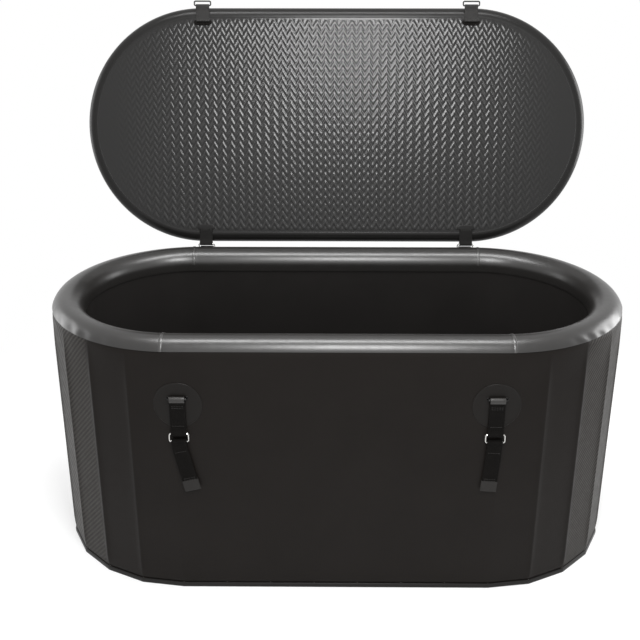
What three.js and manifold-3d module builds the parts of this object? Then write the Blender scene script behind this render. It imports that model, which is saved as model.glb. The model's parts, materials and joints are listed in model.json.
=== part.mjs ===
// Cold plunge tub: an oval inflatable tub with a drop-stitch wall, floor and hinged lid.
// Millimetres, +Z up. The origin is the middle of the base on the floor, X runs along the
// length, the front is -Y and the lid stands open behind the rear rim at +Y.

import * as THREE from 'three';
import { mergeVertices } from 'three/addons/utils/BufferGeometryUtils.js';
import Module from 'manifold-3d';

// Tub
const TUB_LENGTH = 1500;
const TUB_WIDTH = 710;
const TUB_HEIGHT = 700;
const RIM_RADIUS = 42;
const RIM_SEAM_ANGLE = 22;
const RIM_TUCK_ANGLE = 7;
const RIM_INNER_LEG = 18;
const FACETS_PER_END = 10;
const ROUND_STEPS_PER_FACET = 2;
const BASE_LEG = 13;
const FLOOR_THICKNESS = 50;
const COVE_LEG = 22;

// Sheet stock
const SKIN = 1.2;
const BAND = 1.6;
const TAPE = 0.8;
const PATCH = 1;
const STITCH_WEB = 0.6;
const FIT = 0.3;
const CORNER_MERGE = 1e-4;

// Drop-stitch webs
const WALL_WEB_FOLDS = 7;
const WALL_WEB_TOP_GAP = 12;
const PANEL_WEB_PITCH = 30;
const FLOOR_WEB_WIDTH = 430;
const LID_WEB_WIDTH = 480;

// Rim seam tapes
const SEAM_TAPE_START_ANGLE = 3;
const SEAM_TAPE_END_ANGLE = 4.5;

// Straps
const WEBBING_WIDTH = 38;
const WEBBING_PLY = 1.8;
const STRAP_FROM_CORNER = 12;
const STRAP_BAR_BELOW_RIM = 148;
const STRAP_PATCH_RADIUS = 60;
const STRAP_PATCH_BELOW_BAR = 19;
const STRAP_DROP = 94;
const TAIL_LENGTH = 138;
const TAIL_HEM = 40;
const TAIL_LEAN_LEFT = 13;
const TAIL_LEAN_RIGHT = 4;
const BAR_RADIUS = 3;
const BAR_LEG_THICKNESS = 4;
const BAR_LEG_HEIGHT = 8;
const SIDE_CLEARANCE = 2;
const RING_BAR = 4;
const RING_PLATE = 3;
const RING_HEIGHT = 24;
const RING_CORNER = 5;

// Lid
const LID_INSET = 20;
const LID_END_INSET = 27;
const LID_THICKNESS = 50;
const LID_OPEN_ANGLE = 104;
const TAB_PLY = 1.5;
const TAB_SEWN = 14;
const TAB_PATCH_RADIUS = 28;
const HINGE_FROM_LID = 6;
const HINGE_RING_DROP = 18;
const HINGE_PLATE = 4;
const LID_RING_FROM_LID = 4;
const LID_RING_HEIGHT = 16;

// Air valves
const VALVE_FLANGE_RADIUS = 30;
const VALVE_FLANGE = 3;
const VALVE_CUP_RADIUS = 20;
const VALVE_CUP_WALL = 2;
const VALVE_CUP_DEPTH = 23;
const VALVE_CUP_FLOOR = 3;
const VALVE_STEM_RADIUS = 4;
const VALVE_SEAL_RADIUS = 10;
const VALVE_SEAL = 3;
const VALVE_BUTTON_RADIUS = 9;
const VALVE_BUTTON = 4;
const VALVE_BUTTON_RECESS = 5;
const SPRING_RADIUS = 6.2;
const SPRING_WIRE_RADIUS = 0.7;
const SPRING_TURNS = 4;
const CAP_RADIUS = 26;
const CAP_DISC = 3;
const CAP_PLUG_DEPTH = 3;
const CAP_PLUG_WALL = 2.7;
const CAP_KNOB_RADIUS = 8;
const CAP_KNOB_HEIGHT = 5.4;
const WALL_VALVE_FROM_CENTRE = 90;
const WALL_VALVE_BELOW_RIM = 180;
const LID_VALVE_FROM_CORNER = 225;
const VALVE_CLEARANCE = 3;

// Drain
const DRAIN_FROM_CENTRE = 90;
const DRAIN_ABOVE_COVE = 10;
const DRAIN_BORE_RADIUS = 12;
const DRAIN_TUBE_WALL = 4;
const DRAIN_FLANGE_RADIUS = 28;
const DRAIN_FLANGE = 4;
const DRAIN_GASKET = 2;
const DRAIN_NUT_ACROSS_CORNERS = 54;
const DRAIN_NUT = 10;
const DRAIN_NUT_SIDES = 6;
const DRAIN_THREAD_END = 3;
const DRAIN_SPIGOT = 14;
const DRAIN_CAP_WALL = 4;

// Facet counts of round stock
const ROUND_SIDES = 20;
const SMALL_SIDES = 12;
const ARC_STEPS = 8;
const CORNER_STEPS = 2;
const SPRING_STEPS_PER_TURN = 8;
const SPRING_SIDES = 5;

// Places worked out from the sizes above
const SPINE = (TUB_LENGTH - TUB_WIDTH) / 2;
const RIM_LINE = TUB_WIDTH / 2 - RIM_RADIUS;
const RIM_Z = TUB_HEIGHT - RIM_RADIUS;
const WALL_HALF = RIM_RADIUS - BAND - FIT;
const WALL_OUT = RIM_LINE + WALL_HALF;
const WALL_IN = RIM_LINE - WALL_HALF;
const WALL_BOTTOM = BAND + FIT;
const FLOOR_EDGE = WALL_IN - BAND - 2 * FIT;
const FLOOR_FLAT = FLOOR_EDGE - BAND - FIT;
const COVE_Z = FLOOR_THICKNESS + FIT;

const RING_STACK = 2 * RING_PLATE + FIT;
const RING_EYE = Math.hypot(RING_BAR, RING_STACK) / 2 + FIT;
const BAR_EYE = BAR_RADIUS + FIT;
const HINGE_EYE = Math.hypot(RING_BAR, HINGE_PLATE) / 2 + FIT;
const RING_WIDTH = WEBBING_WIDTH + 2 * SIDE_CLEARANCE + 2 * RING_BAR;
const STRAP_X = SPINE - STRAP_FROM_CORNER;
const STRAP_SEAT = WALL_OUT + PATCH + 2 * FIT;
const STRAP_Y = STRAP_SEAT + Math.max(RING_EYE, BAR_EYE, HINGE_EYE) + WEBBING_PLY;
const BAR_Z = TUB_HEIGHT - STRAP_BAR_BELOW_RIM;
const PATCH_Z = BAR_Z - STRAP_PATCH_BELOW_BAR;
const RING_Z = BAR_Z - STRAP_DROP;
const TAIL_Z = RING_Z - RING_HEIGHT + RING_BAR;

const LID_REACH = TUB_WIDTH / 2 - LID_INSET;
const LID_SPINE = SPINE + LID_INSET - LID_END_INSET;
const LID_EDGE = LID_THICKNESS / 2;
const LID_FLAT = LID_REACH - LID_EDGE - FIT;
const TAB_Z = TUB_HEIGHT + FIT + TAB_PLY;
const TAB_PATCH_Z = TAB_Z + TAB_PLY + FIT;
const LID_Z = TAB_PATCH_Z + PATCH + FIT;
const HINGE_Y = LID_REACH + HINGE_FROM_LID;
const HINGE_Z = TAB_Z;
const LID_RING_Y = LID_REACH + LID_RING_FROM_LID;

const SLEEVE_RADIUS = VALVE_CUP_RADIUS + VALVE_CUP_WALL;
const DRAIN_TUBE_RADIUS = DRAIN_BORE_RADIUS + DRAIN_TUBE_WALL;
const DRAIN_Z = COVE_Z + COVE_LEG + DRAIN_ABOVE_COVE + DRAIN_FLANGE_RADIUS;
const WALL_VALVE_Z = TUB_HEIGHT - WALL_VALVE_BELOW_RIM;
const LID_VALVE_X = SPINE + LID_VALVE_FROM_CORNER;

const radians = THREE.MathUtils.degToRad;
const wasm = await Module();
wasm.setup();

// Finishes: coated cloth, woven strap, metal and moulded plastic
const coatedCloth = () => new THREE.MeshStandardMaterial({ color: 0x2b2826, roughness: 0.62, metalness: 0 });
const rimCloth = () => new THREE.MeshStandardMaterial({ color: 0x2f2e2d, roughness: 0.42, metalness: 0 });
const lidCloth = () => new THREE.MeshStandardMaterial({ color: 0x343434, roughness: 0.5, metalness: 0 });
const stitchCloth = () => new THREE.MeshStandardMaterial({ color: 0x8d8a84, roughness: 0.9, metalness: 0 });
const webbing = () => new THREE.MeshStandardMaterial({ color: 0x1a1818, roughness: 0.8, metalness: 0 });
const metal = () => new THREE.MeshStandardMaterial({ color: 0xb9babb, roughness: 0.3, metalness: 1 });
const plastic = () => new THREE.MeshStandardMaterial({ color: 0x232323, roughness: 0.45, metalness: 0 });
const rubber = () => new THREE.MeshStandardMaterial({ color: 0x151515, roughness: 0.85, metalness: 0 });

// A closed body: shared corners merged, empty triangles dropped and all faces turned outwards
function closedBody(geometry) {
  const bare = geometry.clone();
  bare.deleteAttribute('normal');
  bare.deleteAttribute('uv');
  const merged = mergeVertices(bare, CORNER_MERGE);
  const position = merged.getAttribute('position');
  const corner = (index) => new THREE.Vector3().fromBufferAttribute(position, index);
  const index = merged.getIndex();
  const triangles = [];
  let volume = 0;
  for (let first = 0; first < index.count; first += 3) {
    const [a, b, c] = [index.getX(first), index.getX(first + 1), index.getX(first + 2)];
    if (a !== b && b !== c && c !== a) {
      triangles.push([a, b, c]);
      volume += corner(a).dot(corner(b).cross(corner(c)));
    }
  }
  const facing = volume < 0 ? ([a, b, c]) => [a, c, b] : (triangle) => triangle;
  merged.setIndex(triangles.flatMap(facing));
  return merged;
}

// Joining and cutting of closed bodies
function toManifold(geometry) {
  const body = closedBody(geometry);
  const vertProperties = new Float32Array(body.getAttribute('position').array);
  const triVerts = new Uint32Array(body.getIndex().array);
  return new wasm.Manifold(new wasm.Mesh({ numProp: 3, vertProperties, triVerts }));
}

function fromManifold(manifold) {
  const mesh = manifold.getMesh();
  const geometry = new THREE.BufferGeometry();
  geometry.setAttribute('position', new THREE.Float32BufferAttribute(mesh.vertProperties, 3));
  geometry.setIndex(Array.from(mesh.triVerts));
  return geometry;
}

function join(first, ...others) {
  return fromManifold(others.reduce((sum, other) => sum.add(toManifold(other)), toManifold(first)));
}

function cut(first, ...tools) {
  return fromManifold(tools.reduce((rest, tool) => rest.subtract(toManifold(tool)), toManifold(first)));
}

function overlapOf(first, second) {
  return fromManifold(toManifold(first).intersect(toManifold(second)));
}

// Stations round the oval, each a point of the spine with the angle that looks out of it
function ovalStations(stepsPerEnd, spine = SPINE) {
  const stations = [];
  for (const end of [0, 1]) {
    for (let step = 0; step <= stepsPerEnd; step += 1) {
      const angle = (end - 0.5 + step / stepsPerEnd) * Math.PI;
      stations.push({ x: end === 0 ? spine : -spine, angle, shift: 0 });
    }
  }
  return stations;
}

const facetStations = ovalStations(FACETS_PER_END);
const roundStations = ovalStations(FACETS_PER_END * ROUND_STEPS_PER_FACET);
const lidStations = ovalStations(FACETS_PER_END * ROUND_STEPS_PER_FACET, LID_SPINE);

function stationPoint(station, [reach, z]) {
  const distance = reach + station.shift;
  return [station.x + distance * Math.cos(station.angle), distance * Math.sin(station.angle), z];
}

// A section of [reach from the spine, height] points, carried round the stations.
function sweep(stations, section) {
  const positions = stations.flatMap((station) => section.flatMap((point) => stationPoint(station, point)));
  const count = section.length;
  const index = [];
  for (let span = 0; span < stations.length; span += 1) {
    const here = span * count;
    const there = ((span + 1) % stations.length) * count;
    for (let point = 0; point < count; point += 1) {
      const next = (point + 1) % count;
      index.push(here + point, there + point, there + next);
      index.push(here + point, there + next, here + next);
    }
  }
  const geometry = new THREE.BufferGeometry();
  geometry.setAttribute('position', new THREE.Float32BufferAttribute(positions, 3));
  geometry.setIndex(index);
  return geometry;
}

// Points round a centre in [reach, height], angles in degrees up from straight out
function arcPoint(centre, radius, degrees) {
  const angle = radians(degrees);
  return [centre[0] + radius * Math.cos(angle), centre[1] + radius * Math.sin(angle)];
}

function arc(centre, radius, from, to, steps = ARC_STEPS) {
  const angles = Array.from({ length: steps + 1 }, (_, step) => from + ((to - from) * step) / steps);
  return angles.map((angle) => arcPoint(centre, radius, angle));
}

function rectangle(reachLow, reachHigh, zLow, zHigh) {
  return [[reachLow, zLow], [reachHigh, zLow], [reachHigh, zHigh], [reachLow, zHigh]];
}

// A flat oval plate
function plate(stations, reach, zLow, zHigh) {
  const outline = stations.map((station) => stationPoint(station, [reach, 0]));
  const shape = new THREE.Shape(outline.map(([x, y]) => new THREE.Vector2(x, y)));
  const geometry = new THREE.ExtrudeGeometry(shape, { depth: zHigh - zLow, bevelEnabled: false });
  return geometry.translate(0, 0, zLow);
}

// Shapes drawn in X and Z, given a thickness in Y
function upright(shape, thickness, y) {
  const geometry = new THREE.ExtrudeGeometry(shape, {
    depth: thickness, bevelEnabled: false, curveSegments: CORNER_STEPS,
  });
  const turn = new THREE.Matrix4().makeBasis(
    new THREE.Vector3(1, 0, 0), new THREE.Vector3(0, 0, 1), new THREE.Vector3(0, -1, 0),
  );
  return geometry.applyMatrix4(turn).translate(0, y + thickness / 2, 0);
}

function polygon(points) {
  return new THREE.Shape(points.map(([x, y]) => new THREE.Vector2(x, y)));
}

function box(width, depth, height, x, y, z) {
  return new THREE.BoxGeometry(width, depth, height).translate(x, y, z);
}

function rodAlongX(radius, length, x, y, z, sides = SMALL_SIDES) {
  return new THREE.CylinderGeometry(radius, radius, length, sides).rotateZ(Math.PI / 2).translate(x, y, z);
}

function rodAlongY(radius, length, x, y, z, sides = ROUND_SIDES) {
  return new THREE.CylinderGeometry(radius, radius, length, sides).translate(x, y, z);
}

// A turned body about its own Z axis, from [radius, height] points
function turned(points, sides = ROUND_SIDES) {
  const closes = points[0][0] > 0;
  const outline = closes ? [...points, points[0]] : points;
  const profile = outline.map(([radius, height]) => new THREE.Vector2(radius, height));
  return new THREE.LatheGeometry(profile, sides).rotateX(Math.PI / 2);
}

function add(parent, name, geometry, material) {
  const mesh = new THREE.Mesh(closedBody(geometry), material);
  mesh.name = name;
  parent.add(mesh);
  return mesh;
}

// Wall: two skins held apart by a folded stitch web, closed by the rim and base bands
function wallHoles() {
  const through = 4 * RIM_RADIUS;
  const y = RIM_LINE;
  return {
    valve: rodAlongY(SLEEVE_RADIUS + FIT, RIM_RADIUS, WALL_VALVE_FROM_CENTRE, WALL_OUT, WALL_VALVE_Z),
    drain: rodAlongY(DRAIN_TUBE_RADIUS + FIT, through, -DRAIN_FROM_CENTRE, y, DRAIN_Z),
    valveRoom: rodAlongY(
      SLEEVE_RADIUS + VALVE_CLEARANCE, RIM_RADIUS * 2 - VALVE_CLEARANCE,
      WALL_VALVE_FROM_CENTRE, WALL_OUT, WALL_VALVE_Z,
    ),
    drainRoom: rodAlongY(DRAIN_TUBE_RADIUS + VALVE_CLEARANCE, through, -DRAIN_FROM_CENTRE, y, DRAIN_Z),
  };
}

function outerSkin(holes) {
  const centre = [RIM_LINE, RIM_Z];
  const tuckTop = RIM_SEAM_ANGLE + RIM_TUCK_ANGLE;
  const section = [
    [WALL_OUT, WALL_BOTTOM],
    ...arc(centre, WALL_HALF, 0, tuckTop, CORNER_STEPS),
    ...arc(centre, WALL_HALF - SKIN, tuckTop, 0, CORNER_STEPS),
    [WALL_OUT - SKIN, WALL_BOTTOM],
  ];
  return cut(sweep(facetStations, section), holes.valve, holes.drain);
}

function innerSkin(holes) {
  return cut(sweep(roundStations, rectangle(WALL_IN, WALL_IN + SKIN, WALL_BOTTOM, RIM_Z)), holes.drain);
}

// Stations of a web that runs from skin to skin, touching the ridges outside and the
// facets' middles inside
function webStations() {
  const outside = WALL_OUT - SKIN - FIT - STITCH_WEB;
  const inside = WALL_IN + SKIN + FIT;
  const stations = [];
  for (const end of [0, 1]) {
    const x = end === 0 ? SPINE : -SPINE;
    const folds = 2 * FACETS_PER_END;
    for (let fold = 0; fold <= folds; fold += 1) {
      const angle = (end - 0.5 + fold / folds) * Math.PI;
      stations.push({ x, angle, shift: fold % 2 === 0 ? outside : inside });
    }
    const straightFolds = 2 * WALL_WEB_FOLDS;
    for (let fold = 1; fold < straightFolds; fold += 1) {
      const angle = (end + 0.5) * Math.PI;
      const shift = fold % 2 === 0 ? outside : inside;
      stations.push({ x: x * (1 - (2 * fold) / straightFolds), angle, shift });
    }
  }
  return stations;
}

function wallWeb(holes) {
  const section = rectangle(0, STITCH_WEB, WALL_BOTTOM + FIT, RIM_Z - WALL_WEB_TOP_GAP);
  return cut(sweep(webStations(), section), holes.valveRoom, holes.drainRoom);
}

// The rim band laps over the skin's tucked top outside, and hangs over the inner skin
function rimBand() {
  const centre = [RIM_LINE, RIM_Z];
  const reach = RIM_LINE - RIM_RADIUS;
  const lapTop = RIM_SEAM_ANGLE + RIM_TUCK_ANGLE;
  const inner = RIM_RADIUS - BAND;
  return sweep(roundStations, [
    arcPoint(centre, RIM_RADIUS, RIM_SEAM_ANGLE),
    ...arc(centre, RIM_RADIUS, lapTop, 180),
    [reach, RIM_Z - RIM_INNER_LEG],
    [reach + BAND, RIM_Z - RIM_INNER_LEG],
    ...arc(centre, inner, 180, lapTop),
    arcPoint(centre, inner, RIM_SEAM_ANGLE),
  ]);
}

function baseBand() {
  const outside = TUB_WIDTH / 2;
  const inside = WALL_IN - FIT - BAND;
  return sweep(facetStations, [
    [inside, 0],
    [outside, 0],
    [outside, BASE_LEG],
    [outside - BAND, BASE_LEG],
    [outside - BAND, BAND],
    [inside + BAND, BAND],
    [inside + BAND, BASE_LEG],
    [inside, BASE_LEG],
  ]);
}

// A tape over the rim just past the start of a rounded end, lying on the flat between two steps
function rimSeamTape(endX, endY) {
  const halfStep = 90 / (FACETS_PER_END * ROUND_STEPS_PER_FACET);
  const centre = [RIM_LINE, RIM_Z];
  const inner = RIM_RADIUS + FIT;
  const lapTop = RIM_SEAM_ANGLE + RIM_TUCK_ANGLE;
  const section = [...arc(centre, inner + TAPE, lapTop, 180), ...arc(centre, inner, 180, lapTop)];
  const angles = [SEAM_TAPE_START_ANGLE, SEAM_TAPE_END_ANGLE];
  const rows = angles.map((past) => {
    const flat = Math.cos(radians(halfStep)) / Math.cos(radians(halfStep - past));
    return section.map(([reach, z]) => [
      endX * (SPINE + reach * flat * Math.sin(radians(past))),
      endY * reach * flat * Math.cos(radians(past)),
      z,
    ]);
  });
  return loft(rows, section);
}

// A closed body between two matching outlines
function loft(rows, section) {
  const count = section.length;
  const index = [];
  for (let point = 0; point < count; point += 1) {
    const next = (point + 1) % count;
    index.push(point, count + point, count + next, point, count + next, next);
  }
  const contour = section.map(([reach, z]) => new THREE.Vector2(reach, z));
  for (const [a, b, c] of THREE.ShapeUtils.triangulateShape(contour, [])) {
    index.push(a, b, c, count + a, count + c, count + b);
  }
  const geometry = new THREE.BufferGeometry();
  geometry.setAttribute('position', new THREE.Float32BufferAttribute(rows.flat(2), 3));
  geometry.setIndex(index);
  return geometry;
}

// Panels: a web that folds from skin to skin along the length
function panelWeb(reach, width, zLow, zHigh) {
  const half = SPINE + Math.sqrt(Math.max(reach * reach - (width * width) / 4, 0)) - PANEL_WEB_PITCH;
  const folds = 2 * Math.max(1, Math.floor(half / PANEL_WEB_PITCH));
  const under = [];
  const over = [];
  for (let fold = 0; fold <= folds; fold += 1) {
    const x = half * ((2 * fold) / folds - 1);
    const z = fold % 2 === 0 ? zLow : zHigh - STITCH_WEB;
    under.push([x, z]);
    over.unshift([x, z + STITCH_WEB]);
  }
  return upright(polygon([...under, ...over]), width, 0);
}

function coveTape() {
  const reach = WALL_IN - FIT;
  return sweep(roundStations, [
    [reach - COVE_LEG, COVE_Z],
    [reach, COVE_Z],
    [reach, COVE_Z + COVE_LEG],
    [reach - TAPE, COVE_Z + COVE_LEG],
    [reach - TAPE, COVE_Z + TAPE],
    [reach - COVE_LEG, COVE_Z + TAPE],
  ]);
}

function buildTub(tub) {
  const holes = wallHoles();
  add(tub, 'wall_outer_skin', outerSkin(holes), coatedCloth());
  add(tub, 'wall_inner_skin', innerSkin(holes), coatedCloth());
  add(tub, 'wall_drop_stitch', wallWeb(holes), stitchCloth());
  add(tub, 'rim_band', rimBand(), rimCloth());
  add(tub, 'base_band', baseBand(), coatedCloth());
  for (const [name, endX, endY] of [
    ['front_left', -1, -1], ['front_right', 1, -1], ['rear_left', -1, 1], ['rear_right', 1, 1],
  ]) {
    add(tub, `rim_seam_tape_${name}`, rimSeamTape(endX, endY), rimCloth());
  }
  const upper = FLOOR_THICKNESS - SKIN;
  add(tub, 'floor_lower_skin', plate(facetStations, FLOOR_FLAT, 0, SKIN), coatedCloth());
  add(tub, 'floor_upper_skin', plate(facetStations, FLOOR_FLAT, upper, FLOOR_THICKNESS), coatedCloth());
  const edge = rectangle(FLOOR_EDGE - BAND, FLOOR_EDGE, 0, FLOOR_THICKNESS);
  add(tub, 'floor_edge_band', sweep(facetStations, edge), coatedCloth());
  const floorWeb = panelWeb(FLOOR_FLAT, FLOOR_WEB_WIDTH, SKIN + FIT, upper - FIT);
  add(tub, 'floor_drop_stitch', floorWeb, stitchCloth());
  add(tub, 'cove_tape', coveTape(), coatedCloth());
}

// Straps: a patch on the wall, a raised bar, and webbing looped round bars and rings
function strapPatch(x, side) {
  const low = PATCH_Z - STRAP_PATCH_RADIUS - PATCH;
  const high = PATCH_Z + STRAP_PATCH_RADIUS + PATCH;
  const layer = sweep(facetStations, rectangle(WALL_OUT + FIT, WALL_OUT + FIT + PATCH, low, high));
  const disc = rodAlongY(STRAP_PATCH_RADIUS, RIM_RADIUS * 2, x, side * WALL_OUT, PATCH_Z);
  return overlapOf(layer, disc);
}

function strapBar(x, side) {
  const legX = WEBBING_WIDTH / 2 + SIDE_CLEARANCE + BAR_LEG_THICKNESS / 2;
  const legReach = STRAP_Y - STRAP_SEAT + BAR_RADIUS;
  const legMiddle = side * (STRAP_SEAT + legReach / 2);
  return join(
    rodAlongX(BAR_RADIUS, 2 * legX, x, side * STRAP_Y, BAR_Z),
    box(BAR_LEG_THICKNESS, legReach, BAR_LEG_HEIGHT, x - legX, legMiddle, BAR_Z),
    box(BAR_LEG_THICKNESS, legReach, BAR_LEG_HEIGHT, x + legX, legMiddle, BAR_Z),
  );
}

// Two plies of webbing with an eye at each end
function strapLink(x, y, ends) {
  const [[zTop, eyeTop], [zLow, eyeLow]] = ends;
  const body = join(
    box(WEBBING_WIDTH, 2 * WEBBING_PLY, zTop - zLow, x, y, (zTop + zLow) / 2),
    rodAlongX(eyeTop + WEBBING_PLY, WEBBING_WIDTH, x, y, zTop),
    rodAlongX(eyeLow + WEBBING_PLY, WEBBING_WIDTH, x, y, zLow),
  );
  const clear = 2 * WEBBING_WIDTH;
  return cut(body, rodAlongX(eyeTop, clear, x, y, zTop), rodAlongX(eyeLow, clear, x, y, zLow));
}

function roundedOutline(path, left, right, low, high, corner) {
  path.moveTo(left + corner, low);
  path.lineTo(right - corner, low);
  path.absarc(right - corner, low + corner, corner, -Math.PI / 2, 0);
  path.lineTo(right, high - corner);
  path.absarc(right - corner, high - corner, corner, 0, Math.PI / 2);
  path.lineTo(left + corner, high);
  path.absarc(left + corner, high - corner, corner, Math.PI / 2, Math.PI);
  path.lineTo(left, low + corner);
  path.absarc(left + corner, low + corner, corner, Math.PI, 1.5 * Math.PI);
  return path;
}

// A rectangular ring that hangs from the middle of its upper bar
function ring(height, thickness) {
  const half = RING_WIDTH / 2;
  const top = RING_BAR / 2;
  const bottom = top - height;
  const inner = RING_BAR;
  const shape = roundedOutline(new THREE.Shape(), -half, half, bottom, top, RING_CORNER);
  const window = roundedOutline(
    new THREE.Path(), -half + inner, half - inner, bottom + inner, top - inner,
    Math.min(RING_CORNER - RING_BAR / 2, (height - 2 * inner) / 4),
  );
  shape.holes.push(window);
  return upright(shape, thickness, 0);
}

function strapTail(x, lean) {
  const zEnd = TAIL_Z - TAIL_LENGTH;
  const half = WEBBING_WIDTH / 2;
  const slope = Math.tan(radians(lean));
  const strip = (zTop, zLow, thickness) => upright(polygon([
    [x - half + (TAIL_Z - zLow) * slope, zLow],
    [x + half + (TAIL_Z - zLow) * slope, zLow],
    [x + half + (TAIL_Z - zTop) * slope, zTop],
    [x - half + (TAIL_Z - zTop) * slope, zTop],
  ]), thickness, -STRAP_Y);
  const body = join(
    rodAlongX(RING_EYE + WEBBING_PLY, WEBBING_WIDTH, x, -STRAP_Y, TAIL_Z),
    strip(TAIL_Z, zEnd, WEBBING_PLY),
    strip(zEnd + TAIL_HEM, zEnd, 2 * WEBBING_PLY),
  );
  return cut(body, rodAlongX(RING_EYE, 2 * WEBBING_WIDTH, x, -STRAP_Y, TAIL_Z));
}

function buildStraps(tub) {
  const ringOffset = (RING_PLATE + FIT) / 2;
  for (const [hand, sign, lean] of [['left', -1, TAIL_LEAN_LEFT], ['right', 1, -TAIL_LEAN_RIGHT]]) {
    const x = sign * STRAP_X;
    for (const [place, side] of [['front', -1], ['rear', 1]]) {
      add(tub, `${place}_strap_patch_${hand}`, strapPatch(x, side), coatedCloth());
      add(tub, `${place}_strap_bar_${hand}`, strapBar(x, side), metal());
    }
    const front = strapLink(x, -STRAP_Y, [[BAR_Z, BAR_EYE], [RING_Z, RING_EYE]]);
    add(tub, `front_strap_webbing_${hand}`, front, webbing());
    for (const [number, offset] of [[1, -ringOffset], [2, ringOffset]]) {
      const strapRing = add(tub, `strap_ring_${hand}_${number}`, ring(RING_HEIGHT, RING_PLATE), metal());
      strapRing.position.set(x, -STRAP_Y + offset, RING_Z);
    }
    add(tub, `front_strap_tail_${hand}`, strapTail(x, lean), webbing());
    buildHingeLink(tub, x, hand);
  }
}

// The rear strap ends in a ring whose upper bar is the lid's hinge pin
function buildHingeLink(tub, x, hand) {
  const lowZ = HINGE_Z - HINGE_RING_DROP;
  const across = STRAP_Y - HINGE_Y;
  const height = Math.hypot(across, HINGE_RING_DROP) + RING_BAR;
  const rear = strapLink(x, STRAP_Y, [[lowZ, HINGE_EYE], [BAR_Z, BAR_EYE]]);
  add(tub, `rear_strap_webbing_${hand}`, rear, webbing());
  const hingeRing = add(tub, `hinge_ring_${hand}`, ring(height, HINGE_PLATE), metal());
  hingeRing.position.set(x, HINGE_Y, HINGE_Z);
  hingeRing.rotation.x = Math.atan2(across, HINGE_RING_DROP);
}

// Valves and drain, drawn with +Z out of the skin they sit in
function valveBody() {
  const floor = -VALVE_CUP_DEPTH;
  const bore = VALVE_STEM_RADIUS + FIT;
  return turned([
    [bore, floor - VALVE_CUP_FLOOR],
    [SLEEVE_RADIUS, floor - VALVE_CUP_FLOOR],
    [SLEEVE_RADIUS, FIT],
    [VALVE_FLANGE_RADIUS, FIT],
    [VALVE_FLANGE_RADIUS, FIT + VALVE_FLANGE],
    [VALVE_CUP_RADIUS, FIT + VALVE_FLANGE],
    [VALVE_CUP_RADIUS, floor],
    [bore, floor],
  ]);
}

function valvePoppet() {
  const sealTop = -VALVE_CUP_DEPTH - VALVE_CUP_FLOOR - FIT;
  const buttonTop = -VALVE_BUTTON_RECESS;
  return turned([
    [0, sealTop - VALVE_SEAL],
    [VALVE_SEAL_RADIUS, sealTop - VALVE_SEAL],
    [VALVE_SEAL_RADIUS, sealTop],
    [VALVE_STEM_RADIUS, sealTop],
    [VALVE_STEM_RADIUS, buttonTop - VALVE_BUTTON],
    [VALVE_BUTTON_RADIUS, buttonTop - VALVE_BUTTON],
    [VALVE_BUTTON_RADIUS, buttonTop],
    [0, buttonTop],
  ], SMALL_SIDES);
}

class Helix extends THREE.Curve {
  constructor(radius, zLow, zHigh, turns) {
    super();
    Object.assign(this, { radius, zLow, zHigh, turns });
  }

  getPoint(t, target = new THREE.Vector3()) {
    const angle = 2 * Math.PI * this.turns * t;
    const z = this.zLow + (this.zHigh - this.zLow) * t;
    return target.set(this.radius * Math.cos(angle), this.radius * Math.sin(angle), z);
  }
}

function valveSpring() {
  const margin = FIT + SPRING_WIRE_RADIUS;
  const zLow = -VALVE_CUP_DEPTH + margin;
  const zHigh = -VALVE_BUTTON_RECESS - VALVE_BUTTON - margin;
  const wire = polygon(Array.from({ length: SPRING_SIDES }, (_, side) => {
    const angle = (2 * Math.PI * side) / SPRING_SIDES;
    return [SPRING_WIRE_RADIUS * Math.cos(angle), SPRING_WIRE_RADIUS * Math.sin(angle)];
  }));
  return new THREE.ExtrudeGeometry(wire, {
    steps: SPRING_TURNS * SPRING_STEPS_PER_TURN,
    extrudePath: new Helix(SPRING_RADIUS, zLow, zHigh, SPRING_TURNS),
  });
}

function valveCap() {
  const seat = VALVE_FLANGE + 2 * FIT;
  const plug = VALVE_CUP_RADIUS - FIT;
  return turned([
    [0, seat],
    [plug - CAP_PLUG_WALL, seat],
    [plug - CAP_PLUG_WALL, -CAP_PLUG_DEPTH],
    [plug, -CAP_PLUG_DEPTH],
    [plug, seat],
    [CAP_RADIUS, seat],
    [CAP_RADIUS, seat + CAP_DISC],
    [CAP_KNOB_RADIUS, seat + CAP_DISC],
    [CAP_KNOB_RADIUS, seat + CAP_DISC + CAP_KNOB_HEIGHT],
    [0, seat + CAP_DISC + CAP_KNOB_HEIGHT],
  ]);
}

function buildValve(group, prefix) {
  add(group, `${prefix}_valve_body`, valveBody(), plastic());
  add(group, `${prefix}_valve_poppet`, valvePoppet(), plastic());
  add(group, `${prefix}_valve_spring`, valveSpring(), metal());
  add(group, `${prefix}_valve_cap`, valveCap(), plastic());
}

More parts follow.
